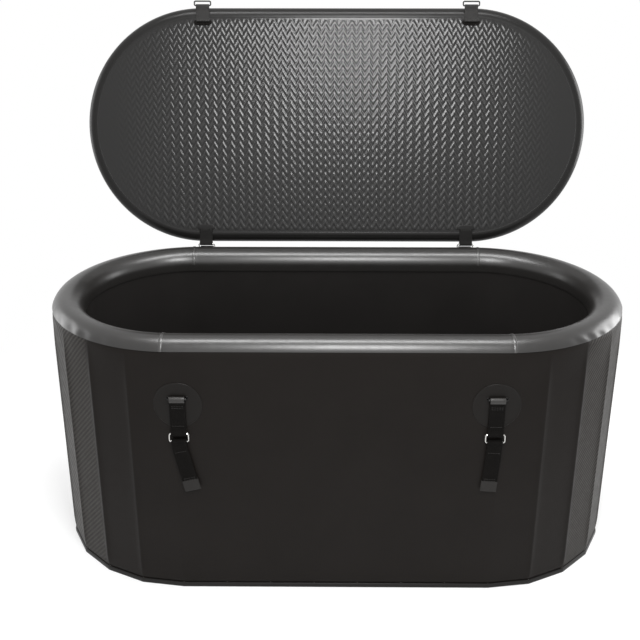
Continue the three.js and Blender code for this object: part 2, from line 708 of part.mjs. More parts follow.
function buildDrain(group) {
  const wall = WALL_OUT - WALL_IN;
  const gasketTop = FIT + DRAIN_GASKET;
  const flangeTop = gasketTop + FIT + DRAIN_FLANGE;
  const spigotTop = flangeTop + DRAIN_SPIGOT;
  const nutTop = -wall - FIT;
  add(group, 'drain_body', turned([
    [DRAIN_BORE_RADIUS, nutTop - DRAIN_NUT - DRAIN_THREAD_END],
    [DRAIN_TUBE_RADIUS, nutTop - DRAIN_NUT - DRAIN_THREAD_END],
    [DRAIN_TUBE_RADIUS, gasketTop + FIT],
    [DRAIN_FLANGE_RADIUS, gasketTop + FIT],
    [DRAIN_FLANGE_RADIUS, flangeTop],
    [DRAIN_TUBE_RADIUS, flangeTop],
    [DRAIN_TUBE_RADIUS, spigotTop],
    [DRAIN_BORE_RADIUS, spigotTop],
  ]), plastic());
  const hole = DRAIN_TUBE_RADIUS + FIT;
  add(group, 'drain_gasket', turned([
    [hole, FIT], [DRAIN_FLANGE_RADIUS, FIT], [DRAIN_FLANGE_RADIUS, gasketTop], [hole, gasketTop],
  ]), rubber());
  const nutRadius = DRAIN_NUT_ACROSS_CORNERS / 2;
  const nut = new THREE.CylinderGeometry(nutRadius, nutRadius, DRAIN_NUT, DRAIN_NUT_SIDES);
  const bore = new THREE.CylinderGeometry(hole, hole, 2 * DRAIN_NUT, ROUND_SIDES);
  const nutBody = cut(nut, bore).rotateX(Math.PI / 2).translate(0, 0, nutTop - DRAIN_NUT / 2);
  add(group, 'drain_nut', nutBody, plastic());
  const capLow = flangeTop + FIT;
  const capSeat = spigotTop + FIT;
  add(group, 'drain_cap', turned([
    [0, capSeat],
    [hole, capSeat],
    [hole, capLow],
    [hole + DRAIN_CAP_WALL, capLow],
    [hole + DRAIN_CAP_WALL, capSeat + DRAIN_CAP_WALL],
    [0, capSeat + DRAIN_CAP_WALL],
  ]), plastic());
}

function buildFittings(tub) {
  const wallValve = new THREE.Group();
  wallValve.position.set(WALL_VALVE_FROM_CENTRE, WALL_OUT, WALL_VALVE_Z);
  wallValve.rotation.x = -Math.PI / 2;
  buildValve(wallValve, 'wall');
  const drain = new THREE.Group();
  drain.position.set(-DRAIN_FROM_CENTRE, WALL_OUT, DRAIN_Z);
  drain.rotation.x = -Math.PI / 2;
  buildDrain(drain);
  tub.add(wallValve, drain);
}

// Lid, drawn closed on the rim: two skins, a half-round edge band, a web, tabs and a valve
function lidTab(x, side, eyeY, eye) {
  const inner = LID_FLAT - TAB_SEWN;
  const length = eyeY - inner;
  const body = join(
    box(WEBBING_WIDTH, length, 2 * TAB_PLY, x, side * (inner + length / 2), TAB_Z),
    rodAlongX(eye + TAB_PLY, WEBBING_WIDTH, x, side * eyeY, TAB_Z),
  );
  return cut(body, rodAlongX(eye, 2 * WEBBING_WIDTH, x, side * eyeY, TAB_Z));
}

function buildLid(lid) {
  const top = LID_Z + LID_THICKNESS;
  const holeRadius = SLEEVE_RADIUS + FIT;
  const valveHole = new THREE.CylinderGeometry(holeRadius, holeRadius, LID_EDGE, ROUND_SIDES);
  valveHole.rotateX(Math.PI / 2).translate(LID_VALVE_X, 0, top);
  add(lid, 'lid_lower_skin', plate(lidStations, LID_FLAT, LID_Z, LID_Z + SKIN), lidCloth());
  add(lid, 'lid_upper_skin', cut(plate(lidStations, LID_FLAT, top - SKIN, top), valveHole), lidCloth());
  const centre = [LID_REACH - LID_EDGE, LID_Z + LID_EDGE];
  const edge = [...arc(centre, LID_EDGE, -90, 90), ...arc(centre, LID_EDGE - BAND, 90, -90)];
  add(lid, 'lid_edge_band', sweep(lidStations, edge), rimCloth());
  const web = panelWeb(LID_FLAT, LID_WEB_WIDTH, LID_Z + SKIN + FIT, top - SKIN - FIT);
  add(lid, 'lid_drop_stitch', web, stitchCloth());
  for (const [hand, sign] of [['left', -1], ['right', 1]]) {
    const x = sign * STRAP_X;
    for (const [place, side, eyeY] of [['front', -1, LID_RING_Y], ['rear', 1, HINGE_Y]]) {
      add(lid, `lid_${place}_tab_${hand}`, lidTab(x, side, eyeY, HINGE_EYE), webbing());
      const patch = new THREE.CylinderGeometry(TAB_PATCH_RADIUS, TAB_PATCH_RADIUS, PATCH, ROUND_SIDES);
      patch.rotateX(Math.PI / 2).translate(x, side * (LID_FLAT - TAB_PATCH_RADIUS), TAB_PATCH_Z + PATCH / 2);
      add(lid, `lid_${place}_tab_patch_${hand}`, patch, coatedCloth());
    }
    const lidRing = add(lid, `lid_ring_${hand}`, ring(LID_RING_HEIGHT, HINGE_PLATE), metal());
    lidRing.position.set(x, -LID_RING_Y, TAB_Z);
    lidRing.rotation.x = -Math.PI / 2;
  }
  const lidValve = new THREE.Group();
  lidValve.position.set(LID_VALVE_X, 0, top);
  buildValve(lidValve, 'lid');
  lid.add(lidValve);
}

const part = new THREE.Group();
part.name = 'cold_plunge_tub';
buildTub(part);
buildStraps(part);
buildFittings(part);

// The lid turns about the upper bars of the hinge rings and stands open
const lidHinge = new THREE.Group();
lidHinge.position.set(0, HINGE_Y, HINGE_Z);
lidHinge.rotation.x = -radians(LID_OPEN_ANGLE);
const lid = new THREE.Group();
lid.position.set(0, -HINGE_Y, -HINGE_Z);
buildLid(lid);
lidHinge.add(lid);
part.add(lidHinge);

export default part;
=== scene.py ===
import json
import math

import bmesh
import bpy
import numpy as np
from mathutils import Matrix, Vector


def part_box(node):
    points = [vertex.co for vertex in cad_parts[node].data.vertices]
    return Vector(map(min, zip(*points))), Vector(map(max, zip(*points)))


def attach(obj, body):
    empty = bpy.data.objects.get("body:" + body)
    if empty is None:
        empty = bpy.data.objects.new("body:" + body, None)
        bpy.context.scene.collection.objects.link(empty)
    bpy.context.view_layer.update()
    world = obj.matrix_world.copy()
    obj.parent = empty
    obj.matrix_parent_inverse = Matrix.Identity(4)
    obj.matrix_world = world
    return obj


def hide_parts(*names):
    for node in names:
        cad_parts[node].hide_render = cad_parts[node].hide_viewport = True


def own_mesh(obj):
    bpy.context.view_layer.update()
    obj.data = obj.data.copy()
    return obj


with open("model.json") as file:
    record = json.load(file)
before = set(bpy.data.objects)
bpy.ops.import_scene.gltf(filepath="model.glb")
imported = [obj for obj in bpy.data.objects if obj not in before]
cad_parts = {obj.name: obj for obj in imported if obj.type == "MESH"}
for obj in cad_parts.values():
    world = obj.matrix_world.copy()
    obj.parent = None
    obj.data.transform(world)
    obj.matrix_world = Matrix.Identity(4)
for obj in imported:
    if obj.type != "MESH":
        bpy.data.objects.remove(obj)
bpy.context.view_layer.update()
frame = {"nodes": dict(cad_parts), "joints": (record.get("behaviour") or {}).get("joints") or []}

# Sizes in metres, from the CAD nodes' boxes where those give them.
base_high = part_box("base_band")[1]
wall_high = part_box("wall_outer_skin")[1]
floor_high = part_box("floor_upper_skin")[1]
strap_low, strap_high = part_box("front_strap_webbing_right")
bar_low, bar_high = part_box("front_strap_bar_right")

HALF_WIDTH = base_high.y
SPINE = base_high.x - HALF_WIDTH
RIM_RADIUS = 0.042
RIM_LINE = HALF_WIDTH - RIM_RADIUS
RIM_Z = 0.7 - RIM_RADIUS
WALL_OUT = wall_high.y
WALL_IN = 0.2729
FLOOR_TOP = floor_high.z
FACET = 18.0

STRAP_X = (strap_low.x + strap_high.x) / 2
STRAP_Y = bar_low.y + 0.003
BAR_Z = (bar_low.z + bar_high.z) / 2
RING_TOP_Z = 0.458
RING_LOW_Z = 0.438
TAIL_END_Z = 0.300
WEBBING_HALF = (strap_high.x - strap_low.x) / 2
WEBBING_PLY = 0.0018
BAR_EYE = 0.0042
RING_EYE = 0.0049

lid_hinge = next(joint for joint in frame["joints"] if joint["name"] == "lid_hinge")
HINGE = Vector(lid_hinge["pos_m"])
LID_ANGLE = math.radians(lid_hinge["range_deg"][1])
LID_OPEN = Matrix.Translation(HINGE) @ Matrix.Rotation(-LID_ANGLE, 4, "X") @ Matrix.Translation(-HINGE)
LID_UNDER = 0.7049
LID_THICKNESS = 0.050
LID_MID = LID_UNDER + LID_THICKNESS / 2
LID_REACH = 0.335
LID_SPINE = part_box("lid_edge_band")[1].x - LID_REACH
LID_EDGE_LINE = LID_REACH - LID_THICKNESS / 2
LID_EDGE_RADIUS = 0.0254
LID_RELIEF_REACH = LID_EDGE_LINE - 0.003
LID_RING_REACH = 0.339


# Shapes

class Shape:
    """Points, faces and flat texture coordinates of one piece.

    The number per point for the material is the weave's mask on the wall, which also paints the side facets
    lighter as painted side light, and the ridges on the lid, which carry painted highlight on the ridges and
    painted shade in the grooves."""

    def __init__(self):
        self.points = []
        self.faces = []
        self.corners = []
        self.pattern_and_painted_light = []

    def grid(self, rows, ring_rows=False, ring_columns=False, ends=False, pattern_and_painted_light=None):
        rows = np.asarray(rows, dtype=float)
        count, width = rows.shape[:2]
        first = len(self.points)
        self.points.extend(rows.reshape(-1, 3).tolist())
        self.pattern_and_painted_light.extend(np.repeat(pattern_and_painted_light if pattern_and_painted_light is not None else np.zeros(count), width).tolist())
        u = run_lengths(rows[:, width // 2], ring_rows)
        v = run_lengths(rows[count // 2], ring_columns)
        for r in range(count if ring_rows else count - 1):
            below = first + r * width
            above = first + (r + 1) % count * width
            for c in range(width if ring_columns else width - 1):
                after = (c + 1) % width
                self.faces.append((below + c, below + after, above + after, above + c))
                self.corners.extend(((u[r], v[c]), (u[r], v[c + 1]), (u[r + 1], v[c + 1]), (u[r + 1], v[c])))
        if ends:
            last = first + (count - 1) * width
            self.cap(range(first, first + width))
            self.cap(range(last, last + width))

    def cap(self, indices):
        self.faces.append(tuple(indices))
        self.corners.extend((self.points[i][0], self.points[i][1]) for i in indices)

    def piece(self, name, body, slot, surface, replaces=(), on_lid=False, sharp=40, holes=(), warp=None):
        mesh = bpy.data.meshes.new(name)
        points = [warp(point) for point in self.points] if warp else self.points
        mesh.from_pydata(points, [], self.faces)
        flat = mesh.uv_layers.new(name="flat")
        flat.data.foreach_set("uv", np.asarray(self.corners, dtype=float).ravel())
        mesh.attributes.new("pattern_and_painted_light", "FLOAT", "POINT").data.foreach_set("value", self.pattern_and_painted_light)
        work = bmesh.new()
        work.from_mesh(mesh)
        for hole in holes:
            cut_round_hole(work, *hole)
        bmesh.ops.recalc_face_normals(work, faces=work.faces)
        work.to_mesh(mesh)
        work.free()
        mesh.shade_smooth()
        mesh.set_sharp_from_angle(angle=math.radians(sharp))
        if on_lid:
            mesh.transform(LID_OPEN)
        mesh.materials.append(surface)
        piece = bpy.data.objects.new(name, mesh)
        bpy.context.scene.collection.objects.link(piece)
        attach(piece, body)
        if replaces:
            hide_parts(*replaces)
        return piece


def run_lengths(points, ring):
    path = np.vstack([points, points[:1]]) if ring else points
    steps = np.linalg.norm(np.diff(path, axis=0), axis=1)
    return np.concatenate([[0.0], np.cumsum(steps)])


def arc(x, y, radius, turns):
    """Points round a centre, one for each turn in radians."""
    return [(x + radius * math.cos(turn), y + radius * math.sin(turn)) for turn in turns]


def cut_round_hole(work, x, z, radius, window):
    """Opens a round hole in the flat rear wall, inside a square of whole faces."""
    inside = []
    for face in work.faces:
        middle = face.calc_center_median()
        if middle.y > 0 and abs(middle.x - x) < window and abs(middle.z - z) < window:
            inside.append(face)
    depth = inside[0].calc_center_median().y
    bmesh.ops.delete(work, geom=inside, context="FACES")
    reach = window * 1.01
    rim = [
        edge for edge in work.edges
        if len(edge.link_faces) == 1
        and all(p.co.y > 0 and abs(p.co.x - x) < reach and abs(p.co.z - z) < reach for p in edge.verts)
    ]
    turns = np.linspace(0, 2 * math.pi, 33)[:-1]
    circle = [work.verts.new((px, depth, pz)) for px, pz in arc(x, z, radius, turns)]
    rim += [work.edges.new((circle[i - 1], circle[i])) for i in range(len(circle))]
    bmesh.ops.triangle_fill(work, use_beauty=True, use_dissolve=False, edges=rim)


def oval(end_angles, rear_x, front_x, spine=SPINE):
    """Places round the oval: centre x, outward direction and degrees past the start of an end.

    On the straight lengths the degrees are None."""
    ends = [(math.sin(math.radians(a)), math.cos(math.radians(a)), a) for a in end_angles]
    places = [(spine, nx, -ny, a) for nx, ny, a in ends]
    places += [(x, 0.0, 1.0, None) for x in sorted(rear_x, reverse=True)]
    places += [(-spine, -nx, ny, a) for nx, ny, a in ends]
    places += [(x, 0.0, -1.0, None) for x in sorted(front_x)]
    return places


def straight(steps, spine=SPINE):
    return list(np.linspace(-spine, spine, steps + 1)[1:-1])


def around(places, profile):
    """One row of points per place, from a profile of (reach, height) pairs."""
    rows = []
    for place in places:
        centre, nx, ny, angle = place
        rows.append([(centre + reach * nx, reach * ny, z) for reach, z in profile(place)])
    return rows


def directions(path, closed):
    ahead = np.roll(path, -1, axis=0) - np.roll(path, 1, axis=0)
    if not closed:
        ahead[0] = path[1] - path[0]
        ahead[-1] = path[-1] - path[-2]
    return ahead / np.linalg.norm(ahead, axis=1)[:, None]


def tube(shape, path, radius, sides=12, closed=False):
    """A round wire along a path, its rings squared to the path's own plane."""
    path = np.asarray(path, dtype=float)
    flat = np.linalg.svd(path - path.mean(axis=0))[2][2]
    rows = []
    for point, along in zip(path, directions(path, closed)):
        side = flat - along * np.dot(flat, along)
        side /= np.linalg.norm(side)
        up = np.cross(along, side)
        turns = np.linspace(0, 2 * math.pi, sides + 1)[:-1]
        rows.append([point + radius * (math.cos(t) * side + math.sin(t) * up) for t in turns])
    shape.grid(rows, ring_rows=closed, ring_columns=True, ends=not closed)


def rounded_rectangle(width, height, corner, steps=5):
    path = []
    for cx, cy, start in ((1, 1, 0), (-1, 1, 90), (-1, -1, 180), (1, -1, 270)):
        turns = [math.radians(start + 90 * step / steps) for step in range(steps + 1)]
        path += arc(cx * (width / 2 - corner), cy * (height / 2 - corner), corner, turns)
    return path


def ribbon(shape, path, half_width, ply, x, closed=False):
    """Webbing of the given ply along a path of (y, z) pairs, across x."""
    path = np.asarray(path, dtype=float)
    half = ply / 2
    upper = [
        (-half_width, 0), (-half_width + half * 0.4, half * 0.75), (-half_width + half, half),
        (-half_width * 0.5, half), (0, half), (half_width * 0.5, half),
        (half_width - half, half), (half_width - half * 0.4, half * 0.75),
    ]
    across = upper + [(-a, -n) for a, n in upper]
    rows = []
    for (y, z), (ty, tz) in zip(path, directions(path, closed)):
        rows.append([(x + a, y - tz * n, z + ty * n) for a, n in across])
    shape.grid(rows, ring_rows=closed, ring_columns=True, ends=not closed)


def smoothstep(value):
    value = min(max(value, 0.0), 1.0)
    return value * value * (3 - 2 * value)


SEWN_HALF = 0.52  # from the seam to the middle of a sewn ply, in plies
SEWN_RUN = 0.014


def sewn_gap(distance, eye, ply, run=SEWN_RUN):
    """Half the gap between two plies at a distance from an eye's centre."""
    return eye + (ply * SEWN_HALF - eye) * smoothstep(distance / run)


def loop_path(low, high, low_eye, high_eye, ply, steps=26):
    """A closed loop of webbing round two bars, its plies sewn together between them, as (side, along)."""
    half_turn = [math.pi * step / 12 for step in range(13)]
    path = arc(0, high, high_eye, half_turn)
    heights = np.linspace(high, low, steps + 2)[1:-1]
    gaps = [max(sewn_gap(high - z, high_eye, ply), sewn_gap(z - low, low_eye, ply)) for z in heights]
    path += [(-gap, z) for gap, z in zip(gaps, heights)]
    path += arc(0, low, low_eye, [math.pi + turn for turn in half_turn])
    path += [(gap, z) for gap, z in zip(reversed(gaps), reversed(heights))]
    return path


def fold_path(end, eye_at, eye, ply, run=0.013, steps=14):
    """Two plies from a sewn end to a loop round a bar, as (along, side) pairs."""
    places = np.linspace(end, eye_at, steps + 1)
    sign = 1 if eye_at > end else -1
    gaps = [sewn_gap(abs(eye_at - s), eye, ply, run) for s in places]
    path = [(s, -gap) for s, gap in zip(places, gaps)]
    for step in range(1, 12):
        turn = -math.pi / 2 + math.pi * step / 12
        path.append((eye_at + sign * eye * math.cos(turn), eye * math.sin(turn)))
    path += [(s, gap) for s, gap in zip(reversed(places), reversed(gaps))]
    return path


def stitches(shape, start, end, lift, length=0.0042, gap=0.0018, radius=0.00045):
    """A row of thread stitches from start to end, each a low bead on the surface."""
    start, end, lift = Vector(start), Vector(end), Vector(lift).normalized()
    run = (end - start).length
    along = (end - start).normalized()
    side = along.cross(lift)
    count = max(1, int(run / (length + gap)))
    pitch = run / count
    for index in range(count):
        middle = start + along * pitch * (index + 0.5)
        rows = []
        for share, size in ((-0.5, 0.35), (-0.4, 0.85), (0, 1.0), (0.4, 0.85), (0.5, 0.35)):
            centre = middle + along * share * (pitch - gap)
            turns = [2 * math.pi * step / 6 for step in range(6)]
            rows.append([
                tuple(centre + side * math.cos(t) * radius * size + lift * math.sin(t) * radius * size)
                for t in turns
            ])
        shape.grid(rows, ring_columns=True, ends=True)


def disc(shape, rows):
    """Rows that run from a round border in to a middle, which is closed."""
    first = len(shape.points)
    shape.grid(rows, ring_rows=True)
    width = len(rows[0])
    shape.cap(range(first + width - 1, first + width * len(rows), width))


def disc_on_wall(shape, x, z, radius, thickness, side, floor_gap=0.0002):
    """A round patch that follows the wall's flat and first facet."""
    rows = []
    rings = [(1.0, 0.0), (0.997, 0.5), (0.985, 0.9), (0.968, 1.0), (0.95, 0.9), (0.935, 0.65), (0.92, 0.6),
             (0.75, 0.6), (0.5, 0.6), (0.25, 0.6), (0.04, 0.6)]
    for turn in np.linspace(0, 2 * math.pi, 73)[:-1]:
        row = []
        for share, height in rings:
            px = x + radius * share * math.cos(turn)
            pz = z + radius * share * math.sin(turn)
            row.append((px, side * (wall_depth(px) + floor_gap + thickness * height), pz))
        rows.append(row)
    disc(shape, rows)


def wall_depth(x):
    """How far the outer wall stands from the spine at a place near the start of an end."""
    past = abs(x) - SPINE
    if past <= 0:
        return WALL_OUT
    slope = (1 - math.cos(math.radians(FACET))) / math.sin(math.radians(FACET))
    return WALL_OUT - past * slope


def turned(shape, profile, centre, axis, sides=48, closed=True, grip=None):
    """A round piece from (radius, height along the axis) pairs.

    A grip is (count, depth, least radius, low, high): that many grooves between two heights."""
    count, depth, least_radius, low, high = grip or (0, 0.0, 0.0, 0.0, 0.0)
    axis = Vector(axis).normalized()
    side = axis.orthogonal().normalized()
    up = axis.cross(side)
    rows = []
    for turn in np.linspace(0, 2 * math.pi, sides + 1)[:-1]:
        out = side * math.cos(turn) + up * math.sin(turn)
        groove = depth * (0.5 - 0.5 * math.cos(count * turn)) ** 2
        row = []
        for radius, height in profile:
            cut = groove if low < height < high and radius > least_radius else 0.0
            row.append(tuple(Vector(centre) + axis * height + out * (radius - cut)))
        rows.append(row)
    first = len(shape.points)
    shape.grid(rows, ring_rows=True, ring_columns=closed)
    if not closed:
        width = len(profile)
        shape.cap(range(first, first + width * sides, width))
        shape.cap(range(first + width - 1, first + width * sides, width))


# Materials

# Where a mix node keeps its two colours and their mixture.
MIX_FIRST, MIX_SECOND, MIX_RESULT = 6, 7, 2


class Surface:
    """A node material around one principled shader."""

    def __init__(self, name):
        self.material = bpy.data.materials.new(name)
        self.material.use_nodes = True
        self.tree = self.material.node_tree
        self.shader = self.tree.nodes["Principled BSDF"]
        self.place = self.node("ShaderNodeTexCoord")

    def node(self, kind, inputs=None, **settings):
        """A node whose inputs take a value or another node's output."""
        made = self.tree.nodes.new(kind)
        for key, value in settings.items():
            setattr(made, key, value)
        for key, value in (inputs or {}).items():
            if isinstance(value, bpy.types.NodeSocket):
                self.join(value, made.inputs[key])
            else:
                made.inputs[key].default_value = value
        return made

    def join(self, source, target):
        self.tree.links.new(source, target)

    def maths(self, operation, first, second=None):
        inputs = {0: first} if second is None else {0: first, 1: second}
        return self.node("ShaderNodeMath", inputs, operation=operation).outputs[0]

    def noise(self, scale, detail=3.0):
        inputs = {"Scale": scale, "Detail": detail, "Vector": self.place.outputs["Object"]}
        return self.node("ShaderNodeTexNoise", inputs).outputs["Fac"]

    def spread(self, value, low, high):
        inputs = {"From Min": 0.3, "From Max": 0.7, "To Min": low, "To Max": high, "Value": value}
        return self.node("ShaderNodeMapRange", inputs).outputs["Result"]

    def mix(self, value, first, second):
        inputs = {"Factor": value, MIX_FIRST: first, MIX_SECOND: second}
        return self.node("ShaderNodeMix", inputs, data_type="RGBA").outputs[MIX_RESULT]

    def blend(self, value, dark, light):
        return self.mix(value, (*dark, 1), (*light, 1))

    def bump(self, height, strength, distance):
        made = self.node("ShaderNodeBump", {"Strength": strength, "Distance": distance, "Height": height})
        self.join(made.outputs["Normal"], self.shader.inputs["Normal"])

    def flat_axes(self):
        made = self.node("ShaderNodeSeparateXYZ", {"Vector": self.place.outputs["UV"]})
        return made.outputs["X"], made.outputs["Y"]

    def base(self, dark, light, rough_low, rough_high, specular, scale=9.0):
        colour = self.blend(self.noise(scale), dark, light)
        self.join(colour, self.shader.inputs["Base Color"])
        self.join(self.spread(self.noise(scale * 7), rough_low, rough_high), self.shader.inputs["Roughness"])
        self.shader.inputs["Specular IOR Level"].default_value = specular
        return colour

    def wave(self, value, period):
        return self.maths("SINE", self.maths("MULTIPLY", value, 2 * math.pi / period))


def plain_cloth(name, dark, light, rough_low, rough_high, specular):
    surface = Surface(name)
    surface.base(dark, light, rough_low, rough_high, specular)
    surface.bump(surface.noise(420, 2.0), 0.12, 0.0006)
    return surface.material


WEAVE_PITCH = 0.0135


def wall_cloth():
    """Coated cloth whose diagonal weave shows at the rounded ends, where its threads are coloured far lighter
    than the plain cloth as painted side light.
    """
    surface = Surface("wall_cloth")
    plain = surface.base((0.0084, 0.0069, 0.0060), (0.0114, 0.0095, 0.0083), 0.42, 0.50, 0.10)
    u, v = surface.flat_axes()
    rising = surface.wave(surface.maths("ADD", u, v), WEAVE_PITCH)
    falling = surface.wave(surface.maths("SUBTRACT", u, v), WEAVE_PITCH)
    crossed = surface.maths("ADD", surface.maths("MULTIPLY", rising, 0.25), 0.75)
    patchy = surface.spread(surface.noise(34), 0.55, 1.0)
    weave = surface.maths("MULTIPLY", surface.maths("MULTIPLY", falling, crossed), patchy)
    mask = surface.node("ShaderNodeAttribute", attribute_name="pattern_and_painted_light").outputs["Fac"]
    threads = surface.maths("ADD", surface.maths("MULTIPLY", weave, 0.5), 0.5)
    # The weave's own pattern, with threads coloured lighter than the plain cloth as painted side light on the
    # facets furthest round the ends.
    weave_painted_lighter = surface.blend(threads, (0.0055, 0.0049, 0.0044), (0.048, 0.0435, 0.0395))
    surface.join(surface.mix(mask, plain, weave_painted_lighter), surface.shader.inputs["Base Color"])
    height = surface.maths("ADD", surface.maths("MULTIPLY", weave, mask), surface.noise(300, 2.0))
    surface.bump(height, 0.35, 0.0008)
    return surface.material


def lid_cloth():
    """Coated cloth that is smoother on the ridges, with painted highlight on the ridges and painted shade in
    the grooves.
    """
    surface = Surface("lid_cloth")
    ridge = surface.node("ShaderNodeAttribute", attribute_name="pattern_and_painted_light").outputs["Fac"]
    # Painted highlight and shade: the ridges are coloured pale and the grooves dark.
    surface.join(surface.blend(ridge, (0.0030, 0.0029, 0.0028), (0.0200, 0.0195, 0.0190)),
                 surface.shader.inputs["Base Color"])
    grain = surface.maths("MULTIPLY", surface.noise(63), 0.04)
    rough = surface.maths("ADD", surface.spread(ridge, 0.23, 0.12), grain)
    surface.join(rough, surface.shader.inputs["Roughness"])
    surface.shader.inputs["Specular IOR Level"].default_value = 0.30
    surface.bump(surface.noise(420, 2.0), 0.16, 0.0006)
    return surface.material


def webbing_cloth(name, dark, light, specular):
    surface = Surface(name)
    surface.base(dark, light, 0.62, 0.75, specular, scale=60)
    u, v = surface.flat_axes()
    wander = surface.maths("MULTIPLY", surface.wave(v, 0.0052), 0.0006)
    ribs = surface.wave(surface.maths("ADD", u, wander), 0.0021)
    surface.bump(ribs, 0.6, 0.0005)
    return surface.material


def stitch_cloth():
    surface = Surface("drop_stitch")
    surface.base((0.30, 0.29, 0.27), (0.40, 0.39, 0.37), 0.7, 0.85, 0.2, scale=30)
    surface.bump(surface.noise(900, 2.0), 0.4, 0.0005)
    return surface.material


def metal_surface(name, dark, light):
    surface = Surface(name)
    surface.base(dark, light, 0.20, 0.32, 0.5, scale=80)
    surface.shader.inputs["Metallic"].default_value = 1.0
    surface.bump(surface.noise(700, 2.0), 0.05, 0.0003)
    return surface.material


WALL_CLOTH = wall_cloth()
RIM_CLOTH = plain_cloth("rim_cloth", (0.012, 0.0112, 0.0105), (0.016, 0.015, 0.0142), 0.28, 0.34, 0.60)
BASE_CLOTH = plain_cloth("base_cloth", (0.010, 0.009, 0.0085), (0.014, 0.013, 0.012), 0.36, 0.44, 0.2)
# The seam tapes are coloured lighter than the rim as a painted highlight on their edges.
TAPE_PAINTED_HIGHLIGHT = plain_cloth("rim_tape", (0.022, 0.021, 0.020), (0.030, 0.029, 0.028), 0.26, 0.32, 0.7)
LID_CLOTH = lid_cloth()
LID_TOP_CLOTH = plain_cloth(
    "lid_top_cloth", (0.0115, 0.0105, 0.0098), (0.0155, 0.0142, 0.0132), 0.40, 0.48, 0.2
)
LID_EDGE_CLOTH = plain_cloth(
    "lid_edge_cloth", (0.008, 0.0077, 0.0074), (0.011, 0.0106, 0.0102), 0.28, 0.34, 0.18
)
PATCH_CLOTH = plain_cloth("patch_cloth", (0.0086, 0.0075, 0.0067), (0.0118, 0.0104, 0.0094), 0.32, 0.40, 0.13)
FLOOR_CLOTH = plain_cloth("floor_cloth", (0.011, 0.010, 0.0095), (0.015, 0.0138, 0.013), 0.44, 0.52, 0.16)
# A pale strip over each strap's top, coloured as a painted highlight where the webbing turns over its bar.
PAINTED_HIGHLIGHT = plain_cloth("strap_painted_highlight", (0.026, 0.025, 0.024), (0.040, 0.038, 0.036), 0.36, 0.45, 0.3)
HEM = plain_cloth("strap_hem", (0.013, 0.012, 0.0112), (0.024, 0.0222, 0.0208), 0.55, 0.65, 0.2)
WEBBING = webbing_cloth("webbing", (0.0042, 0.0038, 0.0034), (0.0070, 0.0063, 0.0058), 0.05)
# The front tabs are the same webbing as the rear tabs, coloured about twice as light as painted light.
FRONT_TAB_PAINTED_LIGHT = webbing_cloth("front_tab_painted_light", (0.0175, 0.0170, 0.0165), (0.0260, 0.0252, 0.0245), 0.2)
REAR_TAB = webbing_cloth("rear_tab", (0.0080, 0.0077, 0.0074), (0.0120, 0.0115, 0.0110), 0.1)
THREAD = plain_cloth("thread", (0.03, 0.029, 0.028), (0.045, 0.044, 0.042), 0.55, 0.65, 0.25)
DROP_STITCH = stitch_cloth()
METAL = metal_surface("metal", (0.62, 0.61, 0.59), (0.72, 0.71, 0.69))
DARK_METAL = metal_surface("dark_metal", (0.02, 0.02, 0.02), (0.035, 0.034, 0.033))
VALVE_PLASTIC = plain_cloth("valve_plastic", (0.022, 0.022, 0.022), (0.03, 0.03, 0.03), 0.36, 0.46, 0.4)
RUBBER = plain_cloth("rubber", (0.010, 0.010, 0.010), (0.014, 0.014, 0.014), 0.6, 0.7, 0.25)


# Tub wall, rim and base

BEAD_HEIGHT = 0.0022
BEAD_WIDTH = 0.0065
facet_shares = (0, 0.018, 0.04, 0.07, 0.14, 0.3, 0.5, 0.7, 0.86, 0.93, 0.96, 0.982)
facet_angles = [FACET * (facet + share) for facet in range(10) for share in facet_shares] + [180.0]
round_angles = list(np.linspace(0, 180, 73))
fine_angles = list(np.linspace(0, 180, 145))

valve_low, valve_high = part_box("wall_valve_body")
drain_low, drain_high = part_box("drain_gasket")
WALL_VALVE_X = (valve_low.x + valve_high.x) / 2
WALL_VALVE_Z = (valve_low.z + valve_high.z) / 2
DRAIN_X = (drain_low.x + drain_high.x) / 2
DRAIN_Z = (drain_low.z + drain_high.z) / 2
VALVE_HOLE = 0.0203
VALVE_WINDOW = 0.027
DRAIN_HOLE = 0.0163
DRAIN_WINDOW = 0.024
valve_hole = (WALL_VALVE_X, WALL_VALVE_Z, VALVE_HOLE, VALVE_WINDOW)
drain_hole = (DRAIN_X, DRAIN_Z, DRAIN_HOLE, DRAIN_WINDOW)


def facet_inset(angle):
    """How far a flat facet lies inside the round end, as a share of the reach."""
    if angle is None:
        return 0.0
    off = math.radians(angle % FACET - FACET / 2)
    return 1 - math.cos(math.radians(FACET / 2)) / math.cos(off)


def bead(angle):
    """The raised weld along each ridge between two facets."""
    if angle is None or angle < FACET / 2 or angle > 180 - FACET / 2:
        return 0.0
    off = math.radians((angle + FACET / 2) % FACET - FACET / 2) * HALF_WIDTH
    return BEAD_HEIGHT * math.exp(-(off / BEAD_WIDTH) ** 2)


def pattern_and_painted_light_share(angle):
    """The weave, coloured lighter as painted side light, shows on the facets furthest round the ends."""
    if angle is None:
        return 0.0
    return smoothstep((90 - abs(90 - angle) - 36) / 3)


wall_heights = sorted(
    [0.03, 0.05] + list(np.linspace(0.17, 0.46, 8)) + list(np.linspace(0.56, 0.655, 7))
    + [WALL_VALVE_Z - VALVE_WINDOW, WALL_VALVE_Z + VALVE_WINDOW]
    + [DRAIN_Z - DRAIN_WINDOW, DRAIN_Z + DRAIN_WINDOW]
)
hole_x = [
    WALL_VALVE_X - VALVE_WINDOW, WALL_VALVE_X + VALVE_WINDOW, DRAIN_X - DRAIN_WINDOW, DRAIN_X + DRAIN_WINDOW,
]
wall_tuck = ((0.0105, 0.0045), (0.0122, 0.0032), (0.0142, 0.0016), (0.0172, 0.0005), (0.021, 0.0))


